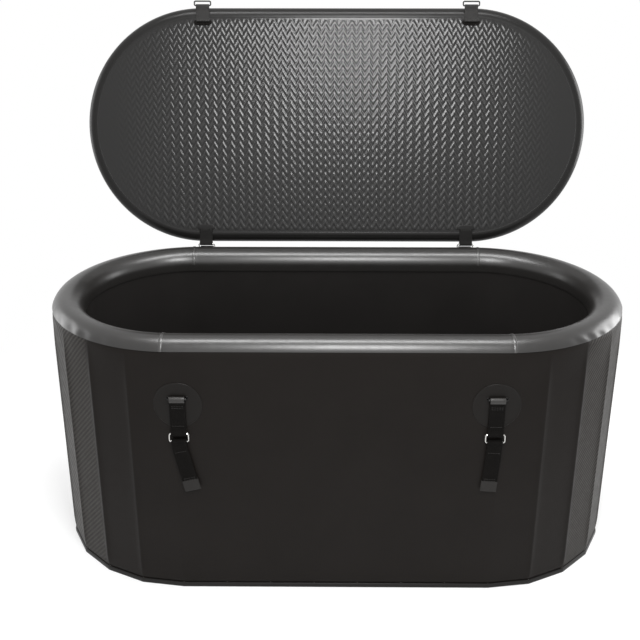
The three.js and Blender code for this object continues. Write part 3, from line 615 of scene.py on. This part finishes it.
def wall_profile(place):
    angle = place[3]
    inset = facet_inset(angle) * WALL_OUT
    rise = bead(angle)
    profile = []
    for z, tuck in wall_tuck:
        profile.append((WALL_OUT - inset - tuck, z))
    for z in wall_heights:
        flatness = 1 - 0.8 * smoothstep((z - RIM_Z + 0.09) / 0.10)
        foot = smoothstep((z - 0.02) / 0.02)
        profile.append((WALL_OUT - inset * flatness + rise * foot * flatness, z))
    for turn in np.radians([3, 9, 15, 21, 25]):
        reach = RIM_LINE + (WALL_OUT - RIM_LINE) * math.cos(turn)
        profile.append((reach - inset * 0.2, RIM_Z + (WALL_OUT - RIM_LINE) * math.sin(turn)))
    return profile


wall_places = oval(facet_angles, sorted(straight(16) + hole_x), straight(24))
wall = Shape()
wall.grid(around(wall_places, wall_profile), ring_rows=True, pattern_and_painted_light=[pattern_and_painted_light_share(p[3]) for p in wall_places])
wall.piece(
    "wall", "tub", "wall_cloth", WALL_CLOTH, ["wall_outer_skin"], sharp=30, holes=[valve_hole, drain_hole]
)

# Creases where the rim's outer edge is drawn round the ends: degrees along, degrees up, depth, widths.
RIM_CREASES = (
    (31, 30, 0.0016, 2.2, 16), (37, 34, 0.0021, 2.6, 18), (44, 28, 0.0018, 2.4, 15),
    (51, 33, 0.0014, 2.8, 17), (60, 27, 0.0012, 2.5, 14), (74, 30, 0.0010, 3.0, 15),
    (106, 30, 0.0011, 2.6, 15), (121, 28, 0.0014, 2.4, 16), (131, 33, 0.0019, 2.5, 17),
    (140, 29, 0.0017, 2.6, 15), (149, 32, 0.0013, 2.3, 16),
)


def rim_dent(place, up):
    angle = place[3]
    if angle is None:
        return 0.0
    dent = 0.0
    shift = 1.5 if place[0] < 0 else 0.0
    for along, high, depth, wide, tall in RIM_CREASES:
        skew = (up - high) * 0.10
        rise = ((up - high) / tall) ** 2
        fold = ((angle - along - shift + skew) / wide) ** 2 + rise
        puff = ((angle - along - shift - wide * 1.7) / wide) ** 2 + rise
        dent += depth * (math.exp(-fold) - 0.5 * math.exp(-puff))
    return dent


def on_rim(radius, up):
    """Reach and height at an angle up round the rim's own centre."""
    turn = math.radians(up)
    return RIM_LINE + radius * math.cos(turn), RIM_Z + radius * math.sin(turn)


def rim_profile(place):
    profile = [on_rim(radius, up) for radius, up in ((0.0398, 22), (0.0408, 20.6))]
    for up in np.concatenate([[20.4, 21.5, 23.5], np.linspace(26, 180, 45)]):
        profile.append(on_rim(RIM_RADIUS - rim_dent(place, up), up))
    for drop in (0.006, 0.012, 0.0165):
        profile.append((RIM_LINE - RIM_RADIUS, RIM_Z - drop))
    profile.append((RIM_LINE - RIM_RADIUS + 0.0006, RIM_Z - 0.018))
    profile.append((RIM_LINE - RIM_RADIUS + 0.0018, RIM_Z - 0.018))
    return profile


rim = Shape()
rim.grid(around(oval(fine_angles, straight(40), straight(40)), rim_profile), ring_rows=True)
rim.piece("rim", "tub", "rim_cloth", RIM_CLOTH, ["rim_band"], sharp=50)

TAPE_START, TAPE_END = 3.0, 4.6
# Share of the tape's width, and the lift there.
TAPE_SECTION = (
    (0, -0.0003), (0.04, 0.0006), (0.14, 0.0011), (0.5, 0.0013),
    (0.86, 0.0011), (0.96, 0.0006), (1, -0.0003),
)
for end in ("left", "right"):
    for face in ("front", "rear"):
        tape = Shape()
        rows = []
        for share, lift in TAPE_SECTION:
            turn = math.radians(TAPE_START + share * (TAPE_END - TAPE_START))
            nx = math.sin(turn) * (1 if end == "right" else -1)
            ny = math.cos(turn) * (-1 if face == "front" else 1)
            cx = SPINE if end == "right" else -SPINE
            section = [on_rim(RIM_RADIUS + lift, up) for up in np.linspace(20.5, 176, 50)]
            rows.append([(cx + reach * nx, reach * ny, z) for reach, z in section])
        tape.grid(rows)
        tape.piece(f"rim_tape_{face}_{end}", "tub", "rim_cloth", TAPE_PAINTED_HIGHLIGHT, [f"rim_seam_tape_{face}_{end}"])


def base_profile(place):
    inset = facet_inset(place[3]) * HALF_WIDTH
    section = ((0.006, 0.0), (0.0012, 0.0), (0.0003, 0.0006), (0.0, 0.002), (0.0, 0.0098), (0.0004, 0.0114),
               (0.0016, 0.0122), (0.0065, 0.0124))
    return [(HALF_WIDTH - inset - back, z) for back, z in section]


base = Shape()
base_places = oval(facet_angles, straight(8), straight(8))
base.grid(around(base_places, base_profile), ring_rows=True, ring_columns=True)
base.piece("base_strip", "tub", "wall_cloth", BASE_CLOTH, ["base_band"], sharp=50)

inner_heights = sorted(
    [FLOOR_TOP + 0.018, DRAIN_Z - DRAIN_WINDOW, DRAIN_Z + DRAIN_WINDOW]
    + list(np.linspace(0.18, RIM_Z - 0.012, 12))
)
inner = Shape()
inner_places = oval(round_angles, sorted(straight(16) + hole_x[2:]), straight(16))
inner.grid(around(inner_places, lambda place: [(WALL_IN, z) for z in inner_heights]), ring_rows=True)
inner.piece("wall_lining", "tub", "wall_cloth", FLOOR_CLOTH, ["wall_inner_skin"],
            holes=[drain_hole])


def cove_profile(place):
    leg = 0.022
    low = FLOOR_TOP + 0.0003
    profile = arc(WALL_IN - leg, low + leg, leg, np.radians(np.linspace(-90, 0, 10)))
    return profile + [(WALL_IN - 0.0002, low)]


cove = Shape()
cove_places = oval(round_angles, straight(16), straight(16))
cove.grid(around(cove_places, cove_profile), ring_rows=True, ring_columns=True)
cove.piece("cove", "tub", "wall_cloth", FLOOR_CLOTH, ["cove_tape"])


# Lid

RELIEF_ACROSS = 0.025
RELIEF_ALONG = 0.0228
RELIEF_HEIGHT = 0.0014
RELIEF_FADE = 0.014
RELIEF_FULL_X = 0.43
RELIEF_GONE_X = 0.68


def lid_inset(x, y):
    """Distance from a point of the lid to the relief's oval border, positive inside."""
    past = max(abs(x) - LID_SPINE, 0.0)
    return LID_RELIEF_REACH - math.hypot(past, y)


def relief(x, y):
    """Zigzag ridges stacked one behind the other, as on a herringbone weave: ridge and share, 0 to 1."""
    across = abs((x / RELIEF_ACROSS + 0.25) % 1.0 * 2 - 1)
    ridge = 0.5 + 0.5 * math.cos(2 * math.pi * (y / RELIEF_ALONG + across))
    share = smoothstep((RELIEF_GONE_X - abs(x)) / (RELIEF_GONE_X - RELIEF_FULL_X))
    return ridge, share * smoothstep((lid_inset(x, y) - 0.001) / RELIEF_FADE)


def border_point(x, y):
    centre = max(min(x, LID_SPINE), -LID_SPINE)
    out = math.hypot(x - centre, y)
    return centre + (x - centre) / out * LID_RELIEF_REACH, y / out * LID_RELIEF_REACH


def build_lid_face():
    step_x = RELIEF_ACROSS / 8
    step_y = RELIEF_ALONG / 8
    count_x = int((LID_SPINE + LID_RELIEF_REACH) / step_x) + 1
    count_y = int(LID_RELIEF_REACH / step_y) + 1
    quads = []
    for i in range(-count_x, count_x):
        for j in range(-count_y, count_y):
            if lid_inset((i + 0.5) * step_x, (j + 0.5) * step_y) > 0:
                quads.append(((i, j), (i + 1, j), (i + 1, j + 1), (i, j + 1)))
    seen = {}
    for quad in quads:
        for k in range(4):
            edge = (quad[k], quad[(k + 1) % 4])
            key = tuple(sorted(edge))
            seen[key] = None if key in seen else edge
    border = {edge[0]: edge[1] for edge in seen.values() if edge}
    index = {}
    face = Shape()
    for quad in quads:
        for corner in quad:
            if corner in index:
                continue
            index[corner] = len(face.points)
            x, y = corner[0] * step_x, corner[1] * step_y
            if corner in border:
                x, y = border_point(x, y)
                ridge, share = 0.5, 0.0
            else:
                ridge, share = relief(x, y)
            face.points.append((x, y, LID_UNDER - RELIEF_HEIGHT * share * ridge))
            # The ridge value also colours the lid: painted highlight on the ridges, painted shade in the
            # grooves.
            face.pattern_and_painted_light.append(0.5 + (ridge - 0.5) * share)
        face.faces.append(tuple(index[corner] for corner in quad))
        face.corners.extend((corner[0] * step_x, corner[1] * step_y) for corner in quad)
    start = next(iter(border))
    loop = [start]
    while border[loop[-1]] != start:
        loop.append(border[loop[-1]])
    back = []
    for corner in loop:
        x, y, z = face.points[index[corner]]
        back.append(len(face.points))
        face.points.append((x, y, LID_UNDER + 0.001))
        face.pattern_and_painted_light.append(0.5)
    for k in range(len(loop)):
        after = (k + 1) % len(loop)
        face.faces.append((index[loop[k]], index[loop[after]], back[after], back[k]))
        face.corners.extend(((0, 0),) * 4)
    face.cap(back)
    return face


build_lid_face().piece("lid_face", "lid", "lid_cloth", LID_CLOTH, ["lid_lower_skin"], on_lid=True, sharp=80)


def lid_edge_profile(place):
    lap = 0.0045
    lift = LID_EDGE_RADIUS - LID_THICKNESS / 2
    profile = [
        (LID_EDGE_LINE - lap + 0.0006, LID_UNDER + 0.0004),
        (LID_EDGE_LINE - lap, LID_UNDER - lift * 0.5),
        (LID_EDGE_LINE - lap + 0.0008, LID_UNDER - lift),
    ]
    profile += arc(LID_EDGE_LINE, LID_MID, LID_EDGE_RADIUS, np.radians(np.linspace(-90, 90, 33)))
    top = LID_UNDER + LID_THICKNESS
    profile.append((LID_EDGE_LINE - lap + 0.0008, top + lift))
    profile.append((LID_EDGE_LINE - lap, top + lift * 0.5))
    profile.append((LID_EDGE_LINE - lap + 0.0006, top - 0.0002))
    return profile


lid_edge = Shape()
lid_places = oval(round_angles, straight(20, LID_SPINE), straight(20, LID_SPINE), LID_SPINE)
lid_edge.grid(around(lid_places, lid_edge_profile), ring_rows=True, ring_columns=True)
lid_edge.piece("lid_edge", "lid", "lid_cloth", LID_EDGE_CLOTH, ["lid_edge_band"], on_lid=True)

TAB_Z = HINGE.z
TAB_PLY = 0.0015
TAB_SEWN_REACH = LID_EDGE_LINE - 0.0143
TAB_HALF = 0.019
TAB_PATCH_REACH = LID_EDGE_LINE - 0.0175
TAB_PATCH_HALF_WIDTH = 0.026
TAB_PATCH_HALF_DEPTH = 0.0085
FRONT_TAB_EYE = 0.0031
REAR_TAB_EYE = 0.0038
LID_RING = (0.046, 0.012, 0.0035)
LID_RING_WIRE = 0.002


def lid_patch(shape, x, y):
    rings = [(1.0, 0.0), (0.995, 0.0006), (0.975, 0.0010)]
    rings += [(share, 0.0012) for share in (0.9, 0.6, 0.3, 0.04)]
    rows = []
    for turn in np.linspace(0, 2 * math.pi, 49)[:-1]:
        row = []
        for share, height in rings:
            across = math.copysign(abs(math.cos(turn)) ** 0.5, math.cos(turn))
            px = x + TAB_PATCH_HALF_WIDTH * share * across
            py = y + TAB_PATCH_HALF_DEPTH * share * math.sin(turn)
            row.append((px, py, LID_UNDER - 0.0006 - height))
        rows.append(row)
    disc(shape, rows)


for hand, x in (("left", -STRAP_X), ("right", STRAP_X)):
    for face, side, eye_at, eye, tab_cloth, patch_cloth in (
        ("front", -1, LID_RING_REACH, FRONT_TAB_EYE, FRONT_TAB_PAINTED_LIGHT, WEBBING),
        ("rear", 1, HINGE.y, REAR_TAB_EYE, REAR_TAB, LID_EDGE_CLOTH),
    ):
        patch = Shape()
        lid_patch(patch, x, side * TAB_PATCH_REACH)
        patch.piece(f"lid_patch_{face}_{hand}", "lid", "lid_cloth", patch_cloth,
                    [f"lid_{face}_tab_patch_{hand}"], on_lid=True)
        tab = Shape()
        path = [(side * s, TAB_Z + n) for s, n in fold_path(TAB_SEWN_REACH, eye_at, eye, TAB_PLY)]
        ribbon(tab, path, TAB_HALF, TAB_PLY, x)
        tab.piece(f"lid_tab_{face}_{hand}", "lid", "webbing", tab_cloth,
                  [f"lid_{face}_tab_{hand}"], on_lid=True)
        seam = Shape()
        under = TAB_Z - TAB_PLY * 1.02
        for reach in (TAB_SEWN_REACH + 0.0015, TAB_SEWN_REACH + 0.0045):
            half = TAB_HALF - 0.003
            stitches(seam, (x - half, side * reach, under), (x + half, side * reach, under), (0, 0, -1))
        seam.piece(f"lid_tab_stitch_{face}_{hand}", "lid", "webbing", THREAD, on_lid=True)
    ring = Shape()
    ring_middle = -(LID_RING_REACH + LID_RING[1] / 2)
    wire = [(x + a, ring_middle + b, TAB_Z) for a, b in rounded_rectangle(*LID_RING)]
    tube(ring, wire, LID_RING_WIRE, closed=True)
    ring.piece(f"lid_wire_{hand}", "lid", "metal", DARK_METAL, [f"lid_ring_{hand}"], on_lid=True)


# Straps on the wall

WALL_PATCH_Z = 0.533
WALL_PATCH_RADIUS = 0.060
WALL_PATCH_THICKNESS = 0.0017
BAR_HALF = 0.0228
BAR_WIRE = 0.0027
BAR_CORNER = 0.0032
STRAP_RING = (0.0466, 0.0206, 0.0045)
STRAP_RING_WIRE = 0.0015
STRAP_RING_SHIFT = 0.00165
HINGE_EYE = 0.0040
HINGE_RING_WIDTH = 0.046
HINGE_RING_CORNER = 0.005
HINGE_RING_WIRE = 0.0019
TAIL_SHORT_END_Z = 0.404
TAIL_FOLD_Z = TAIL_END_Z + 0.0015
TAIL_HEM_TOP_Z = TAIL_END_Z + 0.040
# Ply and gap of the pale strip that paints a highlight over each strap's top.
PAINTED_HIGHLIGHT_PLY = 0.0009
PAINTED_HIGHLIGHT_GAP = 0.0005
HEM_PLY = 0.0008
HEM_HEIGHT = 0.028


def strap_bar(shape, x, side):
    """A bent wire bar that stands on two round feet."""
    foot = WALL_OUT + 0.0014
    path = [(x - BAR_HALF, side * foot, BAR_Z)]
    for start, cx in ((180, x - BAR_HALF + BAR_CORNER), (90, x + BAR_HALF - BAR_CORNER)):
        turns = np.radians(np.linspace(start, start - 90, 6))
        bend = arc(cx, abs(STRAP_Y) - BAR_CORNER, BAR_CORNER, turns)
        path += [(px, side * out, BAR_Z) for px, out in bend]
    path.append((x + BAR_HALF, side * foot, BAR_Z))
    tube(shape, path, BAR_WIRE, 14)
    for end in (-1, 1):
        turned(shape, [(0.0044, 0.0), (0.0044, 0.0006), (0.0038, 0.0011), (0.0006, 0.0011)],
               (x + end * BAR_HALF, side * (WALL_OUT + 0.0013), BAR_Z), (0, side, 0), 20, closed=False)


def tail_warp(x, lean):
    """Turns a tail sideways below its ring."""
    ramp = 0.03

    def warp(point):
        drop = RING_LOW_Z - 0.004 - point[2]
        if drop <= 0:
            return point
        slant = math.radians(lean)
        bend = slant * smoothstep(drop / ramp)
        run = drop - ramp / 2 if drop > ramp else drop * drop / (2 * ramp)
        shift = math.tan(slant) * run
        out = point[0] - x
        return (x + shift + out * math.cos(bend), point[1], point[2] + out * math.sin(bend))

    return warp


def tail_path():
    """From the short sewn end up round the ring and down to the folded hem, as (y, z)."""
    path = []
    for z in np.linspace(TAIL_SHORT_END_Z, RING_LOW_Z, 12):
        path.append((sewn_gap(RING_LOW_Z - z, RING_EYE, WEBBING_PLY), z))
    path += arc(0, RING_LOW_Z, RING_EYE, np.radians(np.linspace(0, 180, 13)[1:-1]))
    for z in np.linspace(RING_LOW_Z, TAIL_FOLD_Z, 40):
        path.append((-sewn_gap(RING_LOW_Z - z, RING_EYE, WEBBING_PLY), z))
    fold = WEBBING_PLY * SEWN_HALF
    path += arc(0, TAIL_FOLD_Z, fold, np.radians([225, 270, 315]))
    return path + [(fold, z) for z in np.linspace(TAIL_FOLD_Z, TAIL_HEM_TOP_Z, 10)]


def painted_highlight_path():
    """A strip over the top of the strap, where it turns round the bar, coloured pale as a painted highlight.
    """
    path = []
    for z in np.linspace(BAR_Z - 0.008, BAR_Z, 8):
        path.append((-sewn_gap(BAR_Z - z, BAR_EYE, WEBBING_PLY) - WEBBING_PLY / 2 - PAINTED_HIGHLIGHT_GAP, z))
    radius = BAR_EYE + WEBBING_PLY / 2 + PAINTED_HIGHLIGHT_GAP
    return path + arc(0, BAR_Z, radius, np.radians(np.linspace(180, 60, 10)[1:]))


def hem_path():
    """A pale binding folded over the end of a tail."""
    side = WEBBING_PLY * 1.02 + 0.0005
    low = TAIL_END_Z + 0.0004
    path = [(-side, z) for z in np.linspace(low + HEM_HEIGHT, low, 12)]
    for turn in np.radians([225, 270, 315]):
        path.append((side * math.cos(turn), low + side * 0.6 * math.sin(turn)))
    path += [(side, z) for z in np.linspace(low, low + HEM_HEIGHT, 12)]
    return path


def front_ribbon(path, half_width, ply, x, closed=False):
    """Webbing along a path of (depth, height) pairs, from the plane of the front straps."""
    shape = Shape()
    ribbon(shape, [(STRAP_Y + n, z) for n, z in path], half_width, ply, x, closed)
    return shape


def front_seams(x, heights):
    """Rows of stitches across the face of a front strap or its tail."""
    shape = Shape()
    front = STRAP_Y - WEBBING_PLY * 1.03
    edge = WEBBING_HALF - 0.004
    for z in heights:
        stitches(shape, (x - edge, front, z), (x + edge, front, z), (0, -1, 0))
    return shape


# The tails hang askew by the given degrees, as in the photo.
for hand, x, lean in (("left", -STRAP_X, 13.0), ("right", STRAP_X, -4.0)):
    for face, side in (("front", -1), ("rear", 1)):
        patch = Shape()
        disc_on_wall(patch, x, WALL_PATCH_Z, WALL_PATCH_RADIUS, WALL_PATCH_THICKNESS, side)
        patch.piece(f"{face}_patch_{hand}", "tub", "wall_cloth", PATCH_CLOTH, [f"{face}_strap_patch_{hand}"])
        bar = Shape()
        strap_bar(bar, x, side)
        bar.piece(f"{face}_bar_{hand}", "tub", "metal", DARK_METAL, [f"{face}_strap_bar_{hand}"])

    body = "strap_" + hand
    loop = loop_path(RING_TOP_Z, BAR_Z, RING_EYE, BAR_EYE, WEBBING_PLY)
    strap = front_ribbon(loop, WEBBING_HALF, WEBBING_PLY, x, closed=True)
    strap.piece(f"front_webbing_{hand}", body, "webbing", WEBBING, [f"front_strap_webbing_{hand}"])
    seams = front_seams(x, (BAR_Z - 0.019, BAR_Z - 0.024, RING_TOP_Z + 0.022))
    seams.piece(f"front_stitch_{hand}", body, "webbing", THREAD)
    # A pale strip as a painted highlight on the strap's top.
    painted_highlight = front_ribbon(painted_highlight_path(), WEBBING_HALF - 0.0006, PAINTED_HIGHLIGHT_PLY, x)
    painted_highlight.piece(f"front_painted_highlight_{hand}", body, "webbing", PAINTED_HIGHLIGHT)

    body = "tail_" + hand
    for number, shift in ((1, -STRAP_RING_SHIFT), (2, STRAP_RING_SHIFT)):
        ring = Shape()
        middle = (RING_TOP_Z + RING_LOW_Z) / 2
        wire = [(x + a, STRAP_Y + shift, middle + b) for a, b in rounded_rectangle(*STRAP_RING)]
        tube(ring, wire, STRAP_RING_WIRE, closed=True)
        ring.piece(f"strap_wire_{hand}_{number}", body, "metal", METAL, [f"strap_ring_{hand}_{number}"])
    warp = tail_warp(x, lean)
    tail = front_ribbon(tail_path(), WEBBING_HALF, WEBBING_PLY, x)
    tail.piece(f"tail_{hand}", body, "webbing", WEBBING, [f"front_strap_tail_{hand}"], warp=warp)
    seams = front_seams(x, (TAIL_END_Z + 0.034, TAIL_END_Z + 0.029, RING_LOW_Z - 0.030))
    seams.piece(f"tail_stitch_{hand}", body, "webbing", THREAD, warp=warp)
    hem = front_ribbon(hem_path(), WEBBING_HALF + 0.0008, HEM_PLY, x)
    hem.piece(f"tail_hem_{hand}", body, "webbing", HEM, warp=warp)

    rear_y = -STRAP_Y
    ring_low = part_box(f"rear_strap_webbing_{hand}")[1].z - (HINGE_EYE + WEBBING_PLY / 2)
    rear = Shape()
    ribbon(rear, [(rear_y - n, z) for n, z in loop_path(BAR_Z, ring_low, BAR_EYE, HINGE_EYE, WEBBING_PLY)],
           WEBBING_HALF, WEBBING_PLY, x, closed=True)
    rear.piece(f"rear_webbing_{hand}", "tub", "webbing", WEBBING, [f"rear_strap_webbing_{hand}"])
    hinge = Shape()
    low_end = Vector((x, rear_y, ring_low))
    high_end = Vector((x, HINGE.y, HINGE.z))
    along = (high_end - low_end).normalized()
    span = (high_end - low_end).length
    centre = (high_end + low_end) / 2
    outline = rounded_rectangle(HINGE_RING_WIDTH, span, HINGE_RING_CORNER)
    wire = [tuple(centre + Vector((a, 0, 0)) + along * b) for a, b in outline]
    tube(hinge, wire, HINGE_RING_WIRE, closed=True)
    hinge.piece(f"hinge_wire_{hand}", "tub", "metal", METAL, [f"hinge_ring_{hand}"])


# Valves and drain, round an axis that points out of the skin

SPRING_LOW = -0.0220
SPRING_HIGH = -0.0100
SPRING_RADIUS = 0.0062
SPRING_WIRE = 0.0007
SPRING_TURNS = 4
THREAD_START = 0.0088
THREAD_PITCH = 0.0027
THREAD_TURNS = 4


def valve_spring(prefix, centre, axis, body):
    """A coil under the button, on a mesh of its own."""
    out = Vector(axis).normalized()
    side = out.orthogonal().normalized()
    across = out.cross(side)
    path = []
    for share in np.linspace(0, 1, SPRING_TURNS * 24 + 1):
        turn = 2 * math.pi * SPRING_TURNS * share
        height = SPRING_LOW + (SPRING_HIGH - SPRING_LOW) * share
        path.append(Vector(centre) + out * height
                    + (side * math.cos(turn) + across * math.sin(turn)) * SPRING_RADIUS)
    coil = Shape()
    tube(coil, path, SPRING_WIRE, 10)
    piece = coil.piece(prefix + "_coil", body, "metal", METAL, [prefix + "_spring"])
    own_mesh(piece)


def valve(prefix, centre, axis, body):
    """Body, spring and cap of an air valve, heights measured from the skin."""
    valve_spring(prefix, centre, axis, body)
    shell = Shape()
    turned(shell, [
        (0.0180, 0.0027), (0.0190, 0.0030), (0.0285, 0.0030), (0.0296, 0.0024), (0.0300, 0.0012),
        (0.0300, 0.0004), (0.0203, 0.0004), (0.0200, -0.0200), (0.0200, -0.0256), (0.0050, -0.0256),
        (0.0048, -0.0230), (0.0172, -0.0230), (0.0180, -0.0222),
    ], centre, axis, 64)
    shell.piece(prefix + "_shell", body, "valve_plastic", VALVE_PLASTIC, [prefix + "_body"], sharp=50)
    cover = Shape()
    turned(cover, [
        (0.0150, -0.0028), (0.0176, -0.0028), (0.0178, 0.0034), (0.0250, 0.0034), (0.0258, 0.0042),
        (0.0258, 0.0054), (0.0250, 0.0063), (0.0100, 0.0064), (0.0086, 0.0072), (0.0078, 0.0110),
        (0.0070, 0.0118), (0.0008, 0.0118), (0.0008, 0.0040), (0.0148, 0.0034),
    ], centre, axis, 288, grip=(36, 0.0009, 0.0240, 0.0038, 0.0060))
    cover.piece(prefix + "_cover", prefix + "_cap", "valve_plastic", VALVE_PLASTIC,
                [prefix + "_cap"], sharp=50)


valve("wall_valve", (WALL_VALVE_X, WALL_OUT, WALL_VALVE_Z), (0, 1, 0), "tub")
lid_valve_low, lid_valve_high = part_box("lid_valve_body")
lid_up = LID_OPEN.to_3x3() @ Vector((0, 0, 1))
lid_top_centre = LID_OPEN @ Vector(((lid_valve_low.x + lid_valve_high.x) / 2, 0, LID_UNDER + LID_THICKNESS))
valve("lid_valve", lid_top_centre, lid_up, "lid")


def drain():
    """A threaded pipe through the wall and its cap with a ribbed grip, heights from the wall's outside."""
    low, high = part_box("drain_cap")
    centre = ((low.x + high.x) / 2, WALL_OUT, (low.z + high.z) / 2)
    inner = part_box("drain_body")[0].y - WALL_OUT
    groove = ((0.0160, 0.0), (0.0153, 0.0007), (0.0153, 0.0012), (0.0160, 0.0019))
    starts = [THREAD_START + THREAD_PITCH * turn for turn in range(THREAD_TURNS)]
    thread = [(radius, start + rise) for start in starts for radius, rise in groove]
    pipe = Shape()
    turned(pipe, [
        (0.0120, inner), (0.0155, inner), (0.0160, inner + 0.0005), (0.0160, 0.0026), (0.0272, 0.0026),
        (0.0280, 0.0034), (0.0280, 0.0058), (0.0272, 0.0066), (0.0160, 0.0066), *thread,
        (0.0160, 0.0200), (0.0154, 0.0206), (0.0120, 0.0206),
    ], centre, (0, 1, 0), 64)
    pipe.piece("drain_pipe", "tub", "valve_plastic", VALVE_PLASTIC, ["drain_body"])
    cover = Shape()
    turned(cover, [
        (0.0005, 0.0209), (0.0163, 0.0209), (0.0163, 0.0069), (0.0197, 0.0069), (0.0203, 0.0075),
        (0.0203, 0.0090), (0.0203, 0.0110), (0.0203, 0.0210), (0.0203, 0.0228), (0.0203, 0.0240),
        (0.0194, 0.0249), (0.0125, 0.0249), (0.0116, 0.0241), (0.0005, 0.0241),
    ], centre, (0, 1, 0), 192, grip=(24, 0.0013, 0.0200, 0.0100, 0.0220))
    cover.piece("drain_cover", "drain_cap", "valve_plastic", VALVE_PLASTIC, ["drain_cap"])


drain()


# CAD nodes that keep their own shape

def dress(names, surface):
    for name in names:
        node = frame["nodes"][name]
        node.data.materials.clear()
        node.data.materials.append(surface)


dress(["floor_upper_skin", "floor_lower_skin", "floor_edge_band"], FLOOR_CLOTH)
dress(["wall_drop_stitch", "floor_drop_stitch", "lid_drop_stitch"], DROP_STITCH)
dress(["lid_upper_skin"], LID_TOP_CLOTH)
dress(["wall_valve_poppet", "lid_valve_poppet", "drain_nut"], VALVE_PLASTIC)
dress(["drain_gasket"], RUBBER)


# Floor, background, lights and camera

def seen_directly(tree):
    """1 for rays of the camera, of reflections and of glass, and 0 for other light."""
    path = tree.nodes.new("ShaderNodeLightPath")
    total = path.outputs["Is Camera Ray"]
    for name in ("Is Glossy Ray", "Is Transmission Ray"):
        both = tree.nodes.new("ShaderNodeMath")
        both.operation = "MAXIMUM"
        tree.links.new(total, both.inputs[0])
        tree.links.new(path.outputs[name], both.inputs[1])
        total = both.outputs[0]
    return total


def mixed(tree, factor, first, second):
    mix = tree.nodes.new("ShaderNodeMixShader")
    tree.links.new(factor, mix.inputs["Fac"])
    tree.links.new(first, mix.inputs[1])
    tree.links.new(second, mix.inputs[2])
    return mix.outputs[0]


def glow(tree, kind, strength):
    made = tree.nodes.new(kind)
    made.inputs["Color"].default_value = (1, 1, 1, 1)
    made.inputs["Strength"].default_value = strength
    return made.outputs[0]


world = bpy.data.worlds.new("surround")
bpy.context.scene.world = world
world.use_nodes = True
tree = world.node_tree
tree.nodes.clear()
dim, white = (glow(tree, "ShaderNodeBackground", strength) for strength in (0.5, 1.0))
surround = mixed(tree, seen_directly(tree), dim, white)
tree.links.new(surround, tree.nodes.new("ShaderNodeOutputWorld").inputs["Surface"])

GROUND_REACH = 14.0
SHADOW_NEAR = 1.0
SHADOW_FAR = 1.7
floor_mesh = bpy.data.meshes.new("ground")
floor_corners = [(x * GROUND_REACH, y * GROUND_REACH, 0) for x, y in ((-1, -1), (1, -1), (1, 1), (-1, 1))]
floor_mesh.from_pydata(floor_corners, [], [(0, 1, 2, 3)])
ground = bpy.data.objects.new("ground", floor_mesh)
bpy.context.scene.collection.objects.link(ground)
floor_surface = Surface("ground")
floor_surface.base((0.90, 0.90, 0.90), (0.94, 0.94, 0.94), 0.85, 0.95, 0.05, scale=0.6)
tree = floor_surface.tree
place = floor_surface.place.outputs["Object"]
distance = floor_surface.node("ShaderNodeVectorMath", {0: place}, operation="LENGTH").outputs["Value"]
fade = floor_surface.node(
    "ShaderNodeMapRange", {"From Min": SHADOW_NEAR, "From Max": SHADOW_FAR, "Value": distance},
    interpolation_type="SMOOTHSTEP",
)
pale = floor_surface.node("ShaderNodeBsdfDiffuse", {"Color": (0.5, 0.5, 0.5, 1)})
lit = floor_surface.node(
    "ShaderNodeAddShader", {0: pale.outputs[0], 1: glow(tree, "ShaderNodeEmission", 0.55)}
)
near = mixed(tree, fade.outputs["Result"], lit.outputs[0], glow(tree, "ShaderNodeEmission", 1.0))
whole = mixed(tree, seen_directly(tree), floor_surface.shader.outputs[0], near)
tree.links.new(whole, tree.nodes["Material Output"].inputs["Surface"])
floor_mesh.materials.append(floor_surface.material)


def lamp(name, place, aim, width, height, power):
    data = bpy.data.lights.new(name, "AREA")
    data.shape = "RECTANGLE"
    data.size = width
    data.size_y = height
    data.energy = power
    made = bpy.data.objects.new(name, data)
    made.location = place
    made.rotation_euler = (Vector(aim) - Vector(place)).to_track_quat("-Z", "Y").to_euler()
    bpy.context.scene.collection.objects.link(made)


lamp("overhead", (0.0, -0.25, 3.0), (0.0, -0.2, 0.6), 2.0, 0.55, 56)
lamp("lid", (0.10, -1.4, 2.05), (0.02, 0.5, 1.3), 0.6, 0.8, 32)
lamp("left", (-3.0, 0.9, 1.1), (-0.6, 0.0, 0.5), 1.6, 2.0, 26)
lamp("right", (3.0, 0.9, 1.1), (0.6, 0.0, 0.5), 1.6, 2.0, 62)
lamp("front", (0.0, -4.0, 2.2), (0.0, 0.0, 0.4), 2.4, 1.4, 9)

# The camera that was fitted to the photo's outlines, its angles in radians.
CAMERA_DIP = 0.4066
CAMERA_TURN = 0.0081
camera_data = bpy.data.cameras.new("camera")
camera_data.lens = 57.35
camera_data.sensor_width = 36.0
camera = bpy.data.objects.new("camera", camera_data)
camera.location = (-0.0235, -2.5165, 1.6877)
camera.rotation_euler = (math.pi / 2 - CAMERA_DIP, 0, CAMERA_TURN)
bpy.context.scene.collection.objects.link(camera)
bpy.context.scene.camera = camera
bpy.context.scene.view_settings.view_transform = "Standard"
